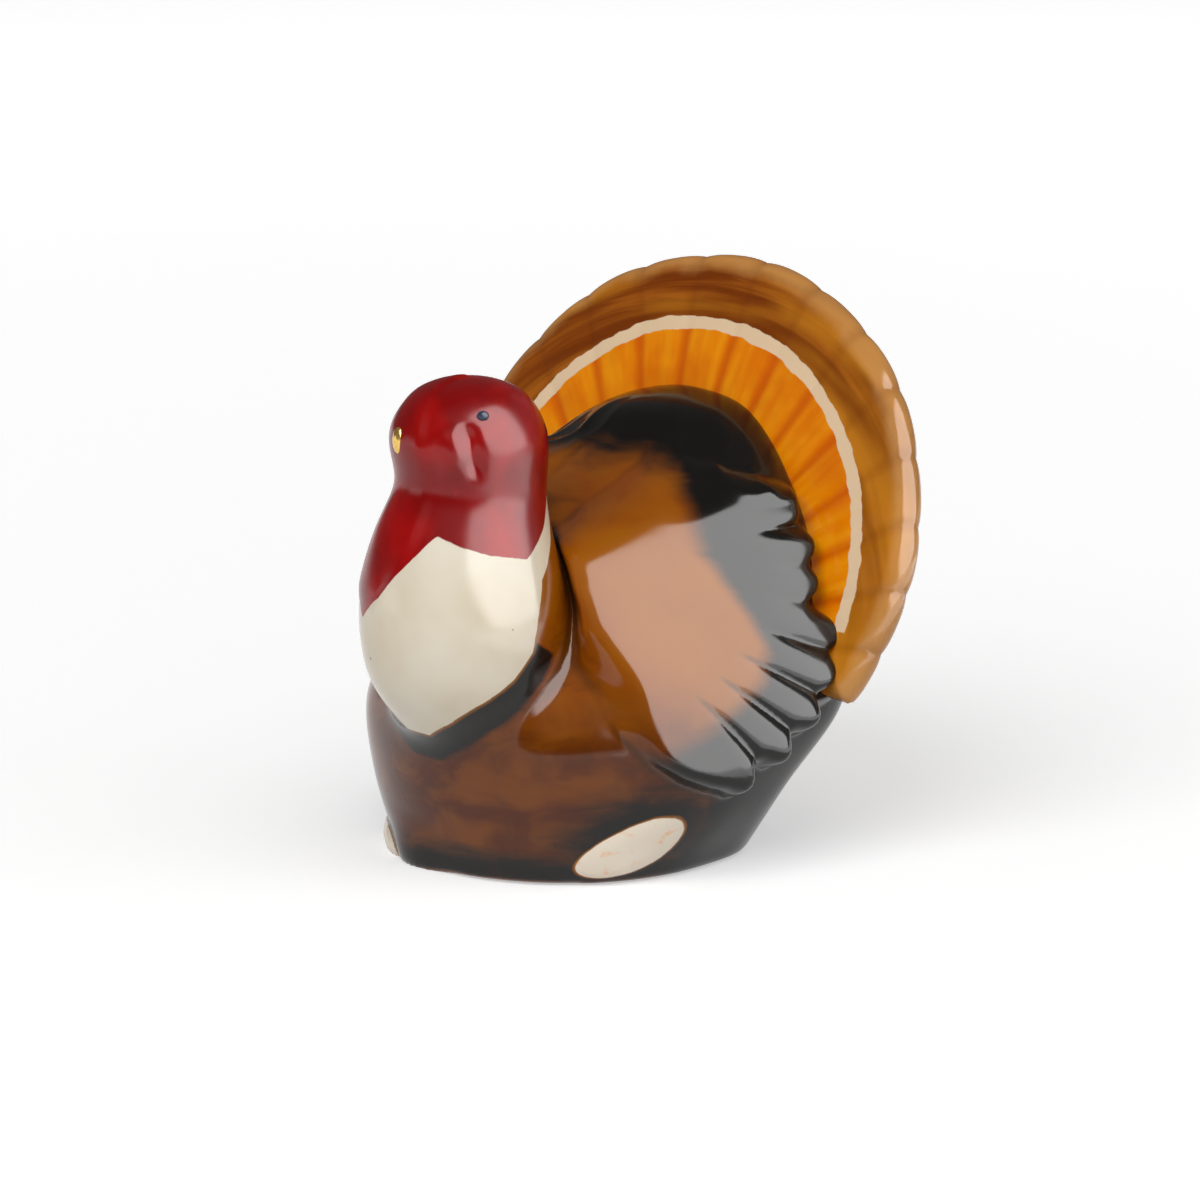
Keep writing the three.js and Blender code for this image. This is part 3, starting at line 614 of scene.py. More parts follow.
def foot_inside(points):
    """Distance inside the edge of the nearer foot's oval."""
    inside = np.where(points[:, 0] > 0, pad_inside(points, LEFT_FOOT), pad_inside(points, RIGHT_FOOT))
    return np.where(points[:, 2] < FOOT_SIZE["below"], inside, OUTSIDE)


def foot_rise(points):
    """How far the foot pads stand proud of the body."""
    upward = smoothstep(points[:, 2], 0, FOOT_PROUD["height"])
    proud = lerp(FOOT_PROUD["bottom"], FOOT_PROUD["top"], upward)
    proud = np.where(points[:, 0] > 0, proud, FOOT_PROUD["right"])
    return proud * np.sqrt(np.clip(foot_inside(points) / FOOT_PROUD["edge"], 0, 1))


def rim_swell(points):
    """A swelling of the rim at the foot, toward the side that the head is turned to."""
    aside = (torso_form.angle_of(points) - RIM_SWELL["turn"]) / RIM_SWELL["half_angle"]
    low = 1 - smoothstep(points[:, 2], *RIM_SWELL["fade"])
    return RIM_SWELL["proud"] * np.exp(-aside ** 2) * low


def wattle_inside(points):
    """Distance inside the edge of the wattle's wedge on the breast."""
    angle, off_breast = breast_values(points)
    down = (WATTLE["top"] - points[:, 2]) / (WATTLE["top"] - WATTLE["tip"])
    half = WATTLE["half_angle"] * np.sqrt(np.clip(1 - down ** 2, 0, 1))
    from_side = np.radians(half - np.abs(angle - WATTLE["turn"])) * WATTLE["chart_radius"]
    inside = np.minimum(from_side, (1 - down) * WATTLE["tip_slope"])
    on_breast = (off_breast < WATTLE["off_breast"]) & (points[:, 1] < WATTLE["in_front_of"])
    return np.where(on_breast & (points[:, 2] > WATTLE["tip"]), inside, OUTSIDE)


def radial(points):
    """Level directions away from the torso's middle."""
    middle = torso_form.at_height("middle", points[:, 2])
    away = np.stack([points[:, 0], points[:, 1] - middle, np.zeros(len(points))], -1)
    return away / np.maximum(np.linalg.norm(away, axis=1, keepdims=True), 1e-6)


def body_skin():
    """The plain skin, the skin with wings, feet and carving raised, and their faces and edges."""
    parts = [
        ring_solid(torso_rings(*TORSO_GRID)),
        ring_solid(loft_rings(breast_form, *LOBE_GRID, BODY_GROW)),
        ring_solid(loft_rings(head_form, *LOBE_GRID, BODY_GROW)),
    ]
    points, faces = voxel_union(*joined(parts), VOXEL)
    edges = edges_of(faces)
    points = smoothed(points, edges, SMOOTHING_ROUNDS)
    under_breast = between(points[:, 2], *UNDER_BREAST["height"])
    under_breast *= 1 - smoothstep(np.abs(torso_form.angle_of(points)), *UNDER_BREAST["turn"])
    points = smoothed(points, edges, UNDER_BREAST["rounds"], SMOOTHING_SHARE * under_breast[:, None])
    neck = between(points[:, 2], *NECK_BLEND["height"])
    neck *= 1 - smoothstep(points[:, 1], *NECK_BLEND["setback"])
    points = smoothed(points, edges, NECK_BLEND["rounds"], SMOOTHING_SHARE * neck[:, None])
    rise, groove = wing_rise(points)
    raised = smoothed(points + radial(points) * rise[:, None], edges, WING_SMOOTHING_ROUNDS)
    raised -= radial(raised) * groove[:, None]
    wattle = WATTLE["proud"] * smoothstep(wattle_inside(points), 0, WATTLE["edge"])
    relief = cheek_creases(points) + crown_carving(points) + foot_rise(points) + wattle + rim_swell(points)
    relief += WOBBLE["depth"] * hand_wobble(points) * smoothstep(points[:, 2], *WOBBLE["above"])
    raised = smoothed(raised + point_normals(raised, faces) * relief[:, None], edges, RELIEF_ROUNDS)
    raised[:, 2] = np.maximum(raised[:, 2], 0)
    raised[points[:, 2] < FLAT_FOOT, 2] = 0
    return points, raised, faces, edges


def border_groups(sides):
    """Numbers the border's separate loops: one group number for each side."""
    group = {int(number): int(number) for number in np.unique(sides)}

    def root(number):
        while group[number] != number:
            group[number] = group[group[number]]
            number = group[number]
        return number

    for first, second in sides:
        group[root(int(first))] = root(int(second))
    return np.array([root(int(first)) for first, _ in sides])


def border_sides(quads):
    """Sides that belong to one quad only."""
    sides = sides_of(quads)
    _, first, count = np.unique(np.sort(sides, axis=1), axis=0, return_index=True, return_counts=True)
    return sides[first[count == 1]]


def walls(sides, depth):
    """Quads from sides of the skin down to the same sides of the layer below it."""
    first, second = sides.T
    return np.stack([second, first, first + depth, second + depth], -1)


def inlay_quads(outer, depth):
    """A piece that is let into the body: its skin, the layer below it and the walls between them."""
    return np.concatenate([outer, outer[:, ::-1] + depth, walls(border_sides(outer), depth)])


def torso_quads(outer, inlaid, depth):
    """The torso's skin, with the layer below where other pieces are let into it."""
    def numbered(sides):
        return np.sort(sides, axis=1) @ (depth, 1)

    sides = border_sides(outer)
    beside = np.isin(numbered(sides), numbered(border_sides(inlaid)))
    return np.concatenate([outer, inlaid + depth, walls(sides[beside], depth)])


def closed_piece(points, normals, quads):
    """Points, faces, normals and point numbers of some quads, each open loop capped about its middle."""
    used, kept = np.unique(quads, return_inverse=True)
    kept = kept.reshape(quads.shape)
    piece_points, piece_normals = [points[used]], [normals[used]]
    piece_faces = [tuple(face) for face in kept]
    border = border_sides(kept)
    groups = border_groups(border)
    for number, group in enumerate(np.unique(groups)):
        loop = border[groups == group]
        corners = np.unique(loop)
        piece_points.append(points[used][corners].mean(axis=0)[None])
        piece_normals.append(normals[used][corners].mean(axis=0)[None])
        middle = len(used) + number
        piece_faces += [(int(b), int(a), middle) for a, b in loop]
    return np.concatenate(piece_points), piece_faces, np.concatenate(piece_normals), used


# Paint borders on the body, in millimetres, positive inside

def polygon_distance(places, corners):
    """Signed distance of flat places to a closed outline, positive inside."""
    corners = np.array(corners, float)
    nearest = np.full(len(places), 1e9)
    inside = np.zeros(len(places), bool)
    for start, end in zip(corners, np.roll(corners, -1, axis=0)):
        side = end - start
        share = np.clip(((places - start) @ side) / max(side @ side, 1e-12), 0, 1)
        nearest = np.minimum(nearest, np.linalg.norm(places - start - share[:, None] * side, axis=1))
        if start[1] != end[1]:
            crosses = (start[1] > places[:, 1]) != (end[1] > places[:, 1])
            at = start[0] + (places[:, 1] - start[1]) / (end[1] - start[1]) * side[0]
            inside ^= crosses & (places[:, 0] < at)
    return np.where(inside, nearest, -nearest)


def breast_values(points):
    """Angle about the breast's middle and distance off its skin."""
    radius = breast_form.at_height("half_width", points[:, 2])
    return breast_form.angle_of(points), breast_form.from_middle(points) - radius


def breast_paint(plain, inside_wing):
    """Where the breast is painted, and the borders of its red and of its bib."""
    angle, off_breast = breast_values(plain)
    limit = lerp(*BREAST_PAINT["off_breast"], smoothstep(inside_wing, *BREAST_PAINT["beside_wing"]))
    on_breast = (off_breast < limit) & (plain[:, 1] < BREAST_PAINT["in_front_of"])
    red = (plain[:, 2] - along_edge(angle, COLLAR)) * COLLAR_SLOPE
    per_degree = np.radians(1) * BREAST_PAINT["chart_radius"]
    corners = [(turn * per_degree, height) for turn, height in BIB_SIDE]
    corners += [((2 * BIB_MIDDLE - turn) * per_degree, height) for turn, height in reversed(BIB_SIDE)]
    bib = polygon_distance(np.stack([angle * per_degree, plain[:, 2]], -1), corners)
    return on_breast, np.where(on_breast, red, OUTSIDE), np.where(on_breast, bib, OUTSIDE)


def dark_strokes(plain, on_breast, bib, inside, direction, reach):
    """Weight of the black brush strokes and of the painted shade on the body, and on the wing by its own
    values.
    """
    height = plain[:, 2]
    turn = np.abs(torso_form.angle_of(plain))
    crown = smoothstep(height - along_edge(turn, CROWN_EDGE), *DARK_CROWN["edge"])
    rear = smoothstep(turn, *DARK_REAR["turn"])
    rear *= 1 - DARK_REAR["thinning"] * smoothstep(turn, *DARK_REAR["thin_turn"])
    aside = (turn - DARK_FOOT["turn"]) / DARK_FOOT["turn_spread"]
    above = (height - DARK_FOOT["height"]) / DARK_FOOT["height_spread"]
    around_foot = DARK_FOOT["weight"] * np.exp(-aside ** 2 - above ** 2)
    base = DARK_BASE["weight"] * between(height, *DARK_BASE["height"])
    # Band under the bib: black paint together with painted shade below the breast
    banded = (on_breast | (height < BAND_AND_SHADE["below"])) & (plain[:, 1] < BAND_AND_SHADE["in_front_of"])
    band = banded * smoothstep(bib, *BAND_AND_SHADE["off_bib"]) * (1 - smoothstep(height, *BAND_AND_SHADE["fade"]))
    # Painted shade along the crease between the breast and the wing
    off_crease = (breast_values(plain)[1] - CREASE_SHADE["off_breast"]) / CREASE_SHADE["width"]
    crease = CREASE_SHADE["weight"] * np.exp(-off_crease ** 2) * between(height, *CREASE_SHADE["height"])
    body = np.maximum.reduce([crown * ~on_breast, rear * ~on_breast, around_foot, base, band])
    feathers = smoothstep(reach - along_edge(direction, WING_BLACK), *DARK_FEATHERS)
    feathers = np.maximum(feathers, crown * smoothstep(direction, *DARK_CROWN["on_wing"]))
    painted = lerp(body, feathers, smoothstep(inside, *WING_PAINT_EDGE))
    return np.maximum(painted, crease * ~on_breast)


def body_paint_values(plain, points, normals, edges):
    """Painted borders and glaze weights; plain is the skin before wings and feet rise from it."""
    inside, direction, reach, _ = wing_values(plain)
    on_breast, red, bib = breast_paint(plain, inside)
    hollow = np.einsum("ij,ij->i", neighbour_mean(points, edges) - points, normals)
    pool = np.clip(hollow / (POOL["depth"] * VOXEL ** 2), 0, 1)
    return {
        "red": red,
        "bib": bib,
        "dark": dark_strokes(plain, on_breast, bib, inside, direction, reach),
        "pool": smoothed(pool[:, None], edges, POOL["rounds"])[:, 0],
        "wing": inside,
        "foot": foot_inside(plain),
    }


def build_body():
    """The skin's pieces by name, each closed and shaded as part of the whole."""
    plain, points, faces, edges = body_skin()
    normals = point_normals(points, faces)
    values = body_paint_values(plain, points, normals, edges)
    centre = plain[faces].mean(axis=1)
    left = centre[:, 0] > 0
    on_head = (centre[:, 2] > NECK_SEAM["height"]) & (centre[:, 1] < NECK_SEAM["in_front_of"])
    on_wing = (values["wing"][faces].mean(axis=1) > 0) & ~on_head
    on_wing &= breast_values(centre)[1] > WING_OFF_BREAST
    on_foot = (values["foot"][faces].mean(axis=1) > 0) & (centre[:, 2] > FOOT_SIZE["above"])
    on_wattle = (wattle_inside(centre) > 0) & ~on_head
    on_torso = ~(on_head | on_wing | on_foot | on_wattle)
    pieces = {
        "torso": on_torso,
        "head": on_head,
        "wattle": on_wattle,
        "wing_left": on_wing & left,
        "wing_right": on_wing & ~left,
        "foot_left": on_foot & left,
        "foot_right": on_foot & ~left,
    }
    depth = len(points)
    plain_normals = point_normals(plain, faces)
    layers = np.concatenate([points, plain - plain_normals * INLAY_DEPTH])
    layers[:, 2] = np.maximum(layers[:, 2], 0)
    made = {}
    for name, chosen in pieces.items():
        quads = faces[chosen]
        if name == "torso":
            quads = torso_quads(quads, faces[on_wing | on_foot | on_wattle], depth)
        elif name != "head":
            quads = inlay_quads(quads, depth)
        below = plain_normals if name == "torso" else -plain_normals
        layer_normals = np.concatenate([normals, below])
        piece_points, piece_faces, piece_normals, used = closed_piece(layers, layer_normals, quads)
        spare = len(piece_points) - len(used)
        kept_values = {key: np.append(value[used % depth], [0] * spare) for key, value in values.items()}
        made[name] = make_object(f"{name}_glazed", piece_points, piece_faces, piece_normals, kept_values)
    return made


# Tail fan

def border_nearness(offset, pitch):
    """0 on a feather's spine, 1 at its border."""
    share = offset / pitch
    return np.abs(share - np.round(share)) * 2


def build_fan():
    """Feathered plate that leans back, with the values its paint needs."""
    count, pitch, drop = (FAN_FEATHERS[key] for key in ("count", "pitch", "quill_drop"))
    half = count * pitch / 2
    turns = np.linspace(-half, half, count * FAN_GRID["per_feather"] + 1)
    plain_rows = np.linspace(FAN_GRID["start"], 1 - FAN_GRID["edge"], FAN_GRID["plain_rows"])
    edge_rows = 1 - FAN_GRID["edge"] * np.linspace(FAN_GRID["first"], 0, FAN_GRID["edge_rows"]) ** 2
    turn, share = np.meshgrid(turns, np.concatenate([plain_rows, edge_rows]))
    side, up = np.sin(np.radians(turn)), np.cos(np.radians(turn))
    near = border_nearness(turn, pitch)
    curve = (side / FAN["half_width"]) ** 2 + (up / FAN["half_height"]) ** 2
    lift = drop * up / FAN["half_height"] ** 2
    rim = (lift + np.sqrt(lift ** 2 + curve * (1 - (drop / FAN["half_height"]) ** 2))) / curve
    rim += FAN_WAVE["depth"] * np.sin(np.radians(turn) * FAN_WAVE["rate"])
    rim -= FAN_FEATHERS["scallop"] * near ** 3
    reach = rim * share
    from_edge = np.minimum(rim - reach, reach * np.radians(half - np.abs(turn)))
    tuck = np.clip(1 - from_edge / FAN_ROUNDOVER, 0, 1)
    rounding = FAN["thickness"] / 2 * (1 - np.sqrt(1 - tuck ** 2))
    arch = 1 - np.sqrt(1 - (FAN_FEATHERS["groove_width"] * near) ** 2)
    relief = FAN_FEATHERS["groove"] * arch * smoothstep(share, *FAN_FEATHERS["grooved"])
    relief *= np.sqrt(1 - tuck ** 2)
    lean = math.radians(FAN["lean"])
    across, rise = reach * side, reach * up - drop

    def placed(ahead):
        return np.stack([
            across,
            FAN["setback"] + rise * math.sin(lean) - ahead * math.cos(lean),
            FAN["height"] + rise * math.cos(lean) + ahead * math.sin(lean),
        ], -1).reshape(-1, 3)

    front, back = placed(-relief - rounding), placed(relief + rounding - FAN["thickness"])
    rows, columns = turn.shape
    layer = rows * columns
    faces = [tuple(face) for face in grid_faces(rows, columns, False)]
    faces += [tuple(face) for face in grid_faces(rows, columns, False, start=layer, flip=True)]
    faces += [(i + 1, i, i + layer, i + 1 + layer) for i in range(columns - 1)]
    strokes = np.stack([np.radians(turn) * FAN_STROKE_RADIUS, reach, 0 * reach], -1)
    line = np.hypot(across, rise + FAN_LINE["drop"]) - FAN_LINE["radius"]
    both_faces = {"line": line, "rise": rise, "rim": rim - reach, "feather": near}
    values = {key: np.tile(value.ravel(), 2) for key, value in both_faces.items()}
    values["front"] = np.repeat([1.0, 0.0], layer)
    values["strokes"] = np.tile(strokes.reshape(-1, 3), (2, 1))
    made = make_object("tail_fan_glazed", np.concatenate([front, back]), faces, None, values)
    weld(made)
    return made


def weld(piece):
    """Joins points that lie on each other, such as a plate's two rims."""
    shell = bmesh.new()
    shell.from_mesh(piece.data)
    bmesh.ops.remove_doubles(shell, verts=shell.verts, dist=WELD_DISTANCE)
    shell.to_mesh(piece.data)
    shell.free()


# Beads

def build_bead(name, size, turn):
    """Oval bead set halfway into the head at a height and a turn."""
    step = head_form.step_at(np.array([size["height"]]))
    angle = np.array([math.radians(turn)])
    middle = head_form.skin(step, angle)[0]
    outward = head_form.over_skin(step, angle, np.array([1.0]))[0] - middle
    facing = math.atan2(outward[0], -outward[1])
    tilts = np.linspace(-BEAD_TILT, BEAD_TILT, BEAD_GRID[1])
    turns, tilts = np.meshgrid(full_turn(BEAD_GRID[0]), tilts)
    across = np.cos(tilts) * np.cos(turns) * size["across"] / 2
    deep = np.cos(tilts) * np.sin(turns) * size["deep"] / 2
    tall = np.sin(tilts) * size["tall"] / 2
    cos, sin = math.cos(facing), math.sin(facing)
    turned = np.stack([across * cos - deep * sin, across * sin + deep * cos, tall], -1)
    return make_object(name, *ring_solid(list(turned + middle)))


# Materials

def srgb(red, green, blue):
    """Linear colour from 0 to 255 screen values."""
    def linear(value):
        value /= 255
        return value / 12.92 if value <= 0.04045 else ((value + 0.055) / 1.055) ** 2.4
    return (linear(red), linear(green), linear(blue), 1.0)


CREAM = srgb(228, 215, 190)
CREAM_LIGHT = srgb(236, 226, 206)
# Lighter cream on the foot pads: painted light, for pads that face down and get little light
CREAM_PAD_LIT = srgb(250, 236, 218)
RED = srgb(164, 6, 4)
RED_DARK = srgb(132, 1, 2)
RED_BRIGHT = srgb(182, 22, 10)
BROWN = srgb(142, 70, 1)
BROWN_LIGHT = srgb(164, 98, 8)
BROWN_LOW = srgb(86, 35, 0)
BROWN_LOW_LIGHT = srgb(118, 60, 0)
BROWN_DARK = srgb(74, 38, 6)
BLACK = srgb(20, 18, 16)
ORANGE = srgb(246, 136, 0)
ORANGE_DEEP = srgb(216, 90, 0)
ORANGE_LIGHT = srgb(252, 160, 14)
FAN_BROWN = srgb(172, 94, 20)
FAN_BROWN_DARK = srgb(122, 54, 2)
FAN_BROWN_LIGHT = srgb(212, 134, 30)
FAN_TAN = srgb(206, 152, 88)
LINE = srgb(240, 210, 172)
GOLD = srgb(226, 178, 84)
GOLD_LIGHT = srgb(244, 208, 130)
# Eye beads: a black dot coloured dark blue-grey, partly a blue tint and partly a painted reflection of the
# lamps
EYE_BLUE_REFLECTED = srgb(44, 52, 76)
EYE_GREY_REFLECTED = srgb(66, 74, 96)

GLAZE_IOR = 1.42
GLAZE_ROUGHNESS = 0.14
RED_SOFTNESS = 0.09
GOLD_FINISH = {"metallic": 0.85, "roughness": 0.22}
PINHOLES = {"spacing": 6.5, "size": 0.22}
SPECKS = {"spacing": 5.2, "size": 0.2}
BUMP_DEPTH = 0.08
BUMP_STRENGTH = 0.35


def empty_material(name):
    material = bpy.data.materials.new(name)
    material.use_nodes = True
    material.node_tree.nodes.clear()
    return material


class Nodes:
    """Short names for the nodes of one tree."""

    def __init__(self, tree):
        self.tree = tree

    def feed(self, socket, value):
        if isinstance(value, bpy.types.NodeSocket):
            self.tree.links.new(value, socket)
        else:
            socket.default_value = value

    def node(self, kind, inputs=None, **settings):
        """A new node with its settings, and with a link or a value for each input given."""
        made = self.tree.nodes.new(f"ShaderNode{kind}")
        for name, value in settings.items():
            setattr(made, name, value)
        for key, value in (inputs or {}).items():
            self.feed(made.inputs[key], value)
        return made

    def math(self, operation, first, second=0.0):
        return self.node("Math", {0: first, 1: second}, operation=operation).outputs[0]

    def part(self, vector, axis):
        return self.node("SeparateXYZ", {0: vector}).outputs[axis]

    def step(self, value, low, high):
        """0 up to low and 1 from high, or 1 and 0 where low is the larger number."""
        rising = low < high
        limits = {
            "From Min": min(low, high),
            "From Max": max(low, high),
            "To Min": 0.0 if rising else 1.0,
            "To Max": 1.0 if rising else 0.0,
        }
        ramp = self.node("MapRange", {"Value": value, **limits}, interpolation_type="SMOOTHSTEP")
        return ramp.outputs["Result"]


class Paint(Nodes):
    """The nodes of one glazed material. Places are in millimetres."""

    def __init__(self, name):
        self.material = empty_material(name)
        super().__init__(self.material.node_tree)
        self.place = self.scaled(self.node("TexCoord").outputs["Object"], (1 / MM,) * 3)

    def scaled(self, vector, factors):
        return self.node("VectorMath", {0: vector, 1: factors}, operation="MULTIPLY").outputs[0]

    def value(self, name, vector=False):
        return self.node("Attribute", attribute_name=name).outputs["Vector" if vector else "Fac"]

    def noise(self, sizes, place=None, detail=3.0, distortion=0.0, shift=0.0):
        """Cloudy value from 0 to 1 with features of the given sizes along each axis."""
        place = self.scaled(place or self.place, tuple(1 / size for size in sizes))
        shifts = (shift, shift * 1.7, shift * 2.3)
        moved = self.node("VectorMath", {0: place, 1: shifts}, operation="ADD").outputs[0]
        sockets = {"Vector": moved, "Scale": 1.0, "Detail": detail, "Distortion": distortion}
        return self.node("TexNoise", sockets).outputs["Fac"]

    def wobbled(self, value, size, amount, shift=0.0):
        """A border value shaken by a brush's unsteady edge, in millimetres."""
        shake = self.math("SUBTRACT", self.noise((size,) * 3, shift=shift), 0.5)
        return self.math("ADD", value, self.math("MULTIPLY", shake, amount * 2))

    def mix(self, factor, first, second):
        return self.node("Mix", {"Factor": factor, 6: first, 7: second}, data_type="RGBA").outputs[2]

    def cover(self, base, color, share, strength):
        """A colour laid over another by the product of two shares."""
        return self.mix(self.math("MULTIPLY", share, strength), base, color)

    def wash(self, base, color, value, low, high, strength=1.0):
        """A colour laid over another as a value goes from low to high."""
        return self.cover(base, color, self.step(value, low, high), strength)

    def specks(self, spacing, size):
        """1 in small round spots, one to a cell, of about the given size."""
        place = self.scaled(self.place, (1 / spacing,) * 3)
        cells = self.node("TexVoronoi", {"Vector": place, "Scale": 1.0})
        return self.step(cells.outputs["Distance"], size / spacing, 0.4 * size / spacing)

    def glaze(self, color, roughness=GLAZE_ROUGHNESS, metallic=0.0):
        """Glossy fired finish: slow waves in the glaze and pinholes in its skin."""
        uneven = self.noise((5, 5, 5), detail=1.0, shift=9.0)
        wavy = self.math("MULTIPLY", self.math("SUBTRACT", uneven, 0.5), 0.05)
        pinholes = self.math("MULTIPLY", self.specks(**PINHOLES), -0.6)
        bump = self.node("Bump", {
            "Strength": BUMP_STRENGTH,
            "Distance": BUMP_DEPTH * MM,
            "Height": self.math("ADD", uneven, pinholes),
        })
        shader = self.node("BsdfPrincipled", {
            "Base Color": color,
            "IOR": GLAZE_IOR,
            "Metallic": metallic,
            "Roughness": self.math("ADD", wavy, roughness),
            "Normal": bump.outputs["Normal"],
        })
        self.node("OutputMaterial", {"Surface": shader.outputs["BSDF"]})
        return self.material


def red_paint(paint):
    cloud = paint.noise((5, 5, 7), detail=2.0, shift=4.0)
    base = paint.wash(RED_DARK, RED, cloud, 0.35, 0.7)
    return paint.wash(base, RED_BRIGHT, paint.noise((1.2, 1.2, 3)), 0.6, 0.8, 0.25)


def cream_paint(paint):
    cloud = paint.noise((7, 7, 9), detail=2.0, shift=2.0)
    base = paint.wash(CREAM, CREAM_LIGHT, cloud, 0.3, 0.7)
    return paint.cover(base, BROWN_DARK, paint.specks(**SPECKS), 0.8)


def brown_paint(paint):
    """Brown brushed over the body: darker low down, lighter and without streaks on the wings."""
    wing = paint.value("wing")
    base = paint.wash(BROWN, BROWN_LIGHT, paint.noise((9, 9, 6), distortion=0.4), 0.3, 0.72, 0.5)
    brushed = paint.noise((8, 8, 5.5), distortion=1.2, shift=11.0)
    low = paint.wash(BROWN_LOW, BROWN_LOW_LIGHT, brushed, 0.34, 0.68)
    base = paint.wash(base, low, paint.part(paint.place, "Z"), 24, 13)
    base = paint.wash(base, BROWN_LIGHT, wing, 3.0, 9.0, 0.7)
    streak = paint.step(paint.noise((6, 6, 3.5), distortion=1.0, shift=3.0), 0.5, 0.8)
    streak = paint.math("MULTIPLY", streak, paint.step(wing, 4.0, 0.5))
    return paint.cover(base, BROWN_DARK, streak, 0.55)


def brushed_dark(paint):
    """Weight of the black strokes and of the painted shade, with a brush's streaks, which are fainter on
    the wings.
    """
    stroke = paint.noise((7, 7, 1.6), distortion=0.5, shift=6.0)
    off_wing = paint.step(paint.value("wing"), 3.0, 0.5)
    depth = paint.math("ADD", paint.math("MULTIPLY", off_wing, 0.4), 0.2)
    streaks = paint.math("MULTIPLY", paint.math("SUBTRACT", stroke, 0.5), depth)
    return paint.math("ADD", paint.value("dark"), streaks)


def skin_material(name):
    """Every painted field of the one-piece body, so that its pieces meet without a seam."""
    paint = Paint(name)
    color = paint.wash(brown_paint(paint), BROWN_DARK, paint.value("pool"), 0.1, 0.9, 0.75)
    # Black strokes, together with the painted shade in the crease and under the bib
    color = paint.wash(color, BLACK, brushed_dark(paint), 0.2, 0.85)
    bib = paint.wobbled(paint.value("bib"), 3.0, 0.22, shift=1.0)
    color = paint.wash(color, BROWN_LIGHT, bib, -0.45, -0.05, 0.75)
    cream = cream_paint(paint)
    color = paint.wash(color, cream, bib, -0.05, 0.06)
    red = paint.wobbled(paint.value("red"), 2.6, 0.2, shift=5.0)
    reddened = paint.step(red, -0.05, 0.05)
    color = paint.mix(reddened, color, red_paint(paint))
    softness = paint.math("ADD", paint.math("MULTIPLY", reddened, RED_SOFTNESS), GLAZE_ROUGHNESS)
    foot = paint.wobbled(paint.value("foot"), 2.0, 0.12, shift=7.0)
    color = paint.wash(color, BROWN_LIGHT, foot, -0.2, 0.0, 0.8)
    stain = paint.noise((1.6, 1.6, 1.2), shift=5.0)
    # Foot pads in a lighter cream as painted light, with real orange stains
    lit_stained_pad = paint.wash(paint.mix(0.7, cream, CREAM_PAD_LIT), ORANGE_LIGHT, stain, 0.58, 0.72, 0.4)
    color = paint.wash(color, lit_stained_pad, foot, 0.0, 0.1)
    return paint.glaze(color, softness)


def fan_material():
    """Orange band inside a pale line, and brown outside it and on the back."""
    paint = Paint("fan_glaze")
    strokes = paint.value("strokes", vector=True)
    groove = paint.step(paint.value("feather"), 0.62, 1.0)
    orange = paint.wash(ORANGE, ORANGE_LIGHT, paint.noise((1.0, 9, 1), strokes), 0.3, 0.75)
    cloud = paint.noise((6, 6, 6), detail=2.0, shift=7.0)
    orange = paint.wash(orange, ORANGE_DEEP, cloud, 0.35, 0.75, 0.55)
    orange = paint.cover(orange, ORANGE_DEEP, groove, 0.75)
    arcs = paint.noise((15, 1.5, 1), strokes, distortion=0.6, shift=2.0)
    brown = paint.wash(FAN_BROWN_DARK, FAN_BROWN, arcs, 0.36, 0.7)
    patches = paint.noise((18, 4.5, 1), strokes, detail=2.0, shift=6.0)
    brown = paint.wash(brown, FAN_BROWN_LIGHT, patches, 0.42, 0.7, 0.8)
    # Painted light: the brown band grows lighter toward the bird's left side, which faces the lamps
    brown = paint.wash(brown, FAN_BROWN_LIGHT, paint.part(strokes, "X"), 12.0, 36.0, 0.55)
    rim = paint.wobbled(paint.value("rim"), 5.0, 1.2, shift=4.0)
    brown = paint.wash(brown, FAN_TAN, rim, 2.6, 0.8, 0.6)
    brown = paint.cover(brown, FAN_BROWN_DARK, groove, 0.22)
    line = paint.wobbled(paint.value("line"), 4.0, 0.55, shift=3.0)
    front = paint.value("front")
    color = paint.wash(brown, orange, line, 0.25, -0.25, front)
    width = paint.wobbled(paint.math("ABSOLUTE", line), 2.2, 0.28, shift=8.0)
    mark = paint.step(width, FAN_LINE["half_width"] + 0.05, FAN_LINE["half_width"] - 0.05)
    above_end = paint.step(paint.value("rise"), FAN_LINE["end"] - 0.1, FAN_LINE["end"] + 0.1)
    mark = paint.math("MULTIPLY", mark, above_end)
    return paint.glaze(paint.cover(color, LINE, mark, front))


def plain_material(name, main, second, metallic=0.0, roughness=GLAZE_ROUGHNESS):
    paint = Paint(name)
    return paint.glaze(paint.mix(paint.noise((0.5, 0.5, 0.5)), main, second), roughness, metallic)


# Stage

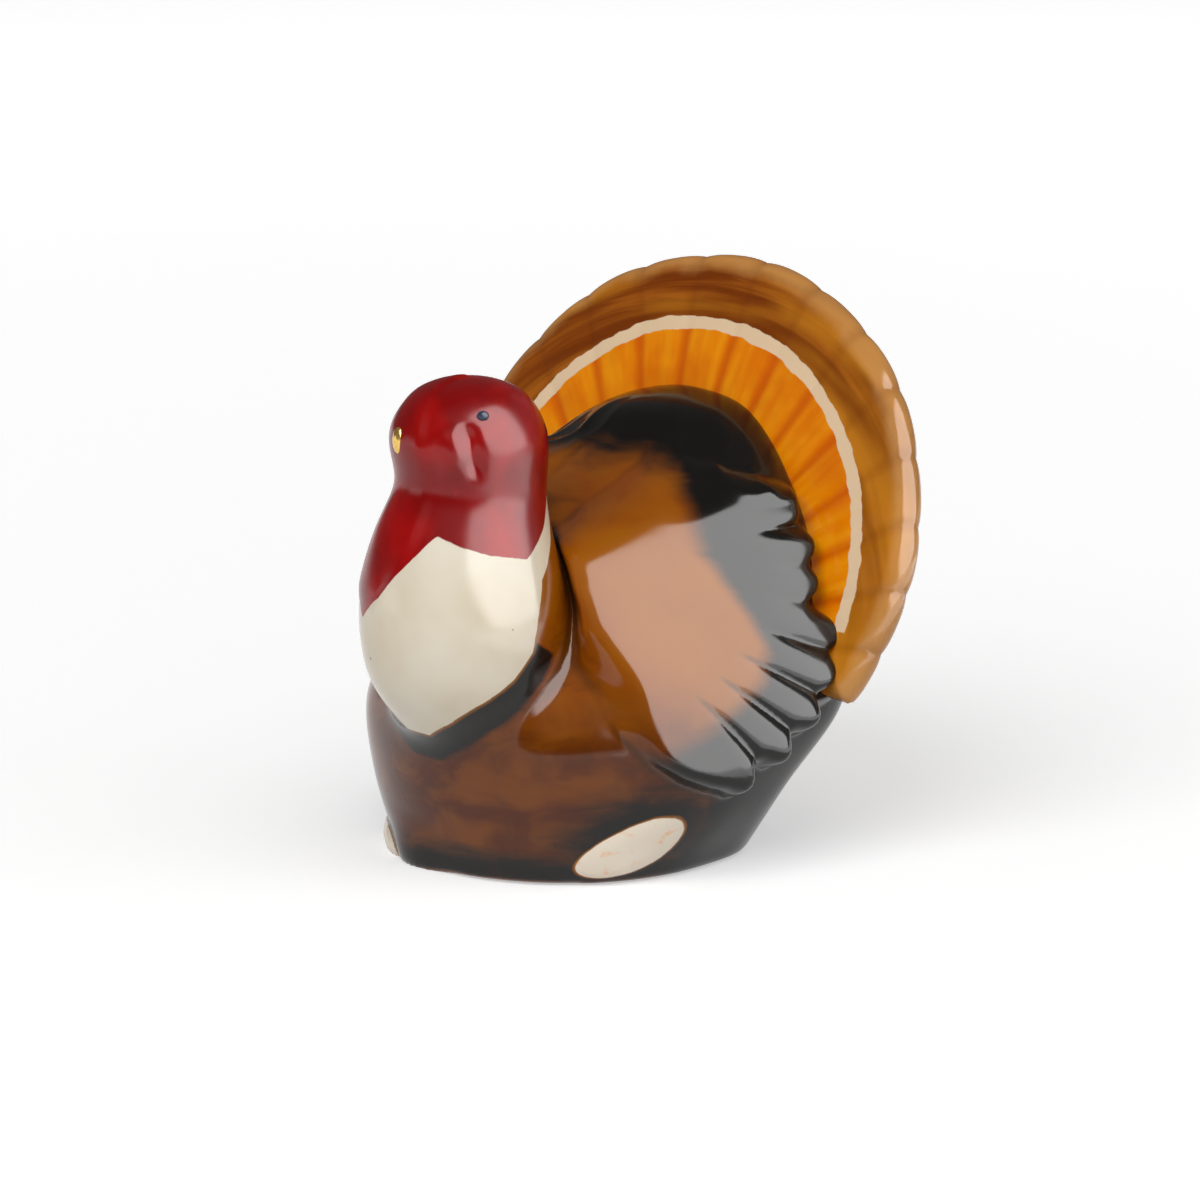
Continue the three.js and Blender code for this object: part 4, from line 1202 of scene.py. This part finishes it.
def build_floor():
    """Pale paper with the object's shadow, which glows toward white for the camera and in reflections."""
    corners = np.array([(-1, -1, 0), (1, -1, 0), (1, 1, 0), (-1, 1, 0)], float) * FLOOR_HALF_WIDTH
    floor = make_object("floor", corners, [(0, 1, 2, 3)])
    material = empty_material("floor_paper")
    nodes = Nodes(material.node_tree)
    rays = nodes.node("LightPath").outputs
    seen = rays["Is Camera Ray"]
    for other in ("Is Glossy Ray", "Is Transmission Ray"):
        seen = nodes.math("MAXIMUM", seen, rays[other])
    place = nodes.node("TexCoord").outputs["Object"]
    distance = nodes.node("VectorMath", {0: place}, operation="LENGTH").outputs["Value"]
    lift = nodes.node("MapRange", {"Value": distance, **FLOOR_GLOW}).outputs["Result"]
    glow = nodes.node("Emission", {"Strength": nodes.math("MULTIPLY", seen, lift)})
    diffuse = nodes.node("BsdfDiffuse", {"Color": FLOOR_GREY})
    both = nodes.node("AddShader", {0: diffuse.outputs[0], 1: glow.outputs[0]})
    nodes.node("OutputMaterial", {"Surface": both.outputs[0]})
    floor.data.materials.append(material)


def heading(turn, elevation=0.0):
    """Unit direction at a turn from the front toward the left side, and at an elevation."""
    turn, elevation = math.radians(turn), math.radians(elevation)
    level = math.cos(elevation)
    return Vector((math.sin(turn) * level, -math.cos(turn) * level, math.sin(elevation)))


def build_camera():
    back = heading(CAMERA["azimuth"], CAMERA["elevation"])
    azimuth = math.radians(CAMERA["azimuth"])
    right = Vector((math.cos(azimuth), math.sin(azimuth), 0))
    slide = right * CAMERA_SLIDE["right"] + back.cross(right) * CAMERA_SLIDE["up"]
    aim = Vector((0, 0, CAMERA["target_height"])) + slide
    data = bpy.data.cameras.new("camera")
    data.lens = CAMERA["lens"]
    data.sensor_width = SENSOR_WIDTH
    data.clip_start = NEAREST_SEEN
    camera = linked("camera", data)
    camera.location = (aim + back * CAMERA["distance"]) * MM
    camera.rotation_euler = (-back).to_track_quat("-Z", "Y").to_euler()
    bpy.context.scene.camera = camera


def add_lamp(data, place, rotation, lights_paint=True, shows_in_glaze=True):
    """Puts a lamp on the stage, unseen by the camera itself."""
    lamp = linked(data.name, data)
    lamp.location = place
    lamp.rotation_euler = rotation
    lamp.visible_camera = False
    lamp.visible_diffuse = lights_paint
    lamp.visible_glossy = shows_in_glaze


def rectangle_light(name, width, height, radiance):
    data = bpy.data.lights.new(name, "AREA")
    data.shape = "RECTANGLE"
    data.size = width
    data.size_y = height
    data.energy = radiance * math.pi * width * height
    return data


def fade_corner(data, tall, start, end):
    """Lets a panel grow brighter away from one lower corner."""
    data.use_nodes = True
    nodes = Nodes(data.node_tree)
    place = nodes.node("NewGeometry").outputs["Parametric"]
    rise = nodes.math("MULTIPLY", nodes.part(place, "Y"), tall)
    fade = nodes.step(nodes.math("ADD", rise, nodes.part(place, "X")), start, end)
    nodes.feed(data.node_tree.nodes["Emission"].inputs["Strength"], fade)


def build_panel(name, panel, lights_paint=True, shows_in_glaze=True):
    """Upright light panel beside the object, between two angles from the camera's side."""
    outward = heading(CAMERA["azimuth"] + (panel["from"] + panel["to"]) / 2)
    half = math.radians((panel["to"] - panel["from"]) / 2)
    width = 2 * panel["distance"] * math.tan(half)
    height = panel["distance"] * math.tan(math.radians(panel["top"]))
    data = rectangle_light(name, width, height, panel["radiance"])
    if "corner" in panel:
        fade_corner(data, height / width, *panel["corner"])
    place = outward * panel["distance"] + Vector((0, 0, height / 2))
    add_lamp(data, place, outward.to_track_quat("Z", "Y").to_euler(), lights_paint, shows_in_glaze)


def build_card(card):
    """White card flat on the table, seen only as a reflection."""
    outward = heading(CAMERA["azimuth"] + card["turn"])
    middle = (card["near"] + card["far"]) / 2
    width = 2 * middle * math.tan(math.radians(card["spread"]))
    data = rectangle_light("card", width, card["far"] - card["near"], card["radiance"])
    rotation = (math.pi, 0, math.atan2(outward.y, outward.x) - math.pi / 2)
    add_lamp(data, outward * middle + Vector((0, 0, MM)), rotation, lights_paint=False)


def build_fill(fill):
    """Broad light that brings the paint up without a reflection of its own."""
    outward = heading(CAMERA["azimuth"] + fill["turn"], fill["elevation"])
    data = bpy.data.lights.new("fill", "AREA")
    data.shape = "DISK"
    data.size = fill["size"]
    data.energy = fill["energy"]
    rotation = outward.to_track_quat("Z", "Y").to_euler()
    add_lamp(data, outward * fill["distance"], rotation, shows_in_glaze=False)


def build_world():
    world = bpy.data.worlds.new("studio")
    world.use_nodes = True
    background = world.node_tree.nodes["Background"]
    background.inputs["Color"].default_value = (1, 1, 1, 1)
    background.inputs["Strength"].default_value = WORLD_LEVEL
    bpy.context.scene.world = world


def dress(piece, material, slot, *nodes):
    """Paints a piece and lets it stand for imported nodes."""
    piece.data.materials.clear()
    piece.data.materials.append(material)
    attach(piece, "root")
    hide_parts(*nodes)


bpy.context.scene.view_settings.view_transform = "Standard"
build_camera()
build_world()
build_floor()
build_panel("softbox", SOFTBOX, shows_in_glaze=False)
build_panel("sheen", SHEEN, lights_paint=False)
build_card(CARD)
build_panel("side", SIDE)
build_panel("strip", STRIP)
for fill in FILLS:
    build_fill(fill)

BODY_SLOTS = {
    "torso": "brown_glaze",
    "head": "red_glaze",
    "wattle": "red_glaze",
    "wing": "wing_glaze",
    "foot": "cream_glaze",
}
for name, piece in build_body().items():
    dress(piece, skin_material(f"{name}_paint"), BODY_SLOTS[name.split("_")[0]], name)
dress(build_fan(), fan_material(), "amber_glaze", "tail_fan")
# Eyes in dark blue-grey: painted reflection over a black dot, with a blue tint
eye_paint_and_reflection = plain_material("eye_paint_and_reflection", EYE_BLUE_REFLECTED, EYE_GREY_REFLECTED)
for name, turn in (("eye_left", EYE["turn"]), ("eye_right", -EYE["turn"])):
    dress(build_bead(f"{name}_glazed", EYE, turn), eye_paint_and_reflection, "black_glaze", name)
gold = plain_material("gold_lustre", GOLD, GOLD_LIGHT, **GOLD_FINISH)
dress(build_bead("beak_gilded", BEAK, BEAK["turn"]), gold, "gold_lustre", "beak")
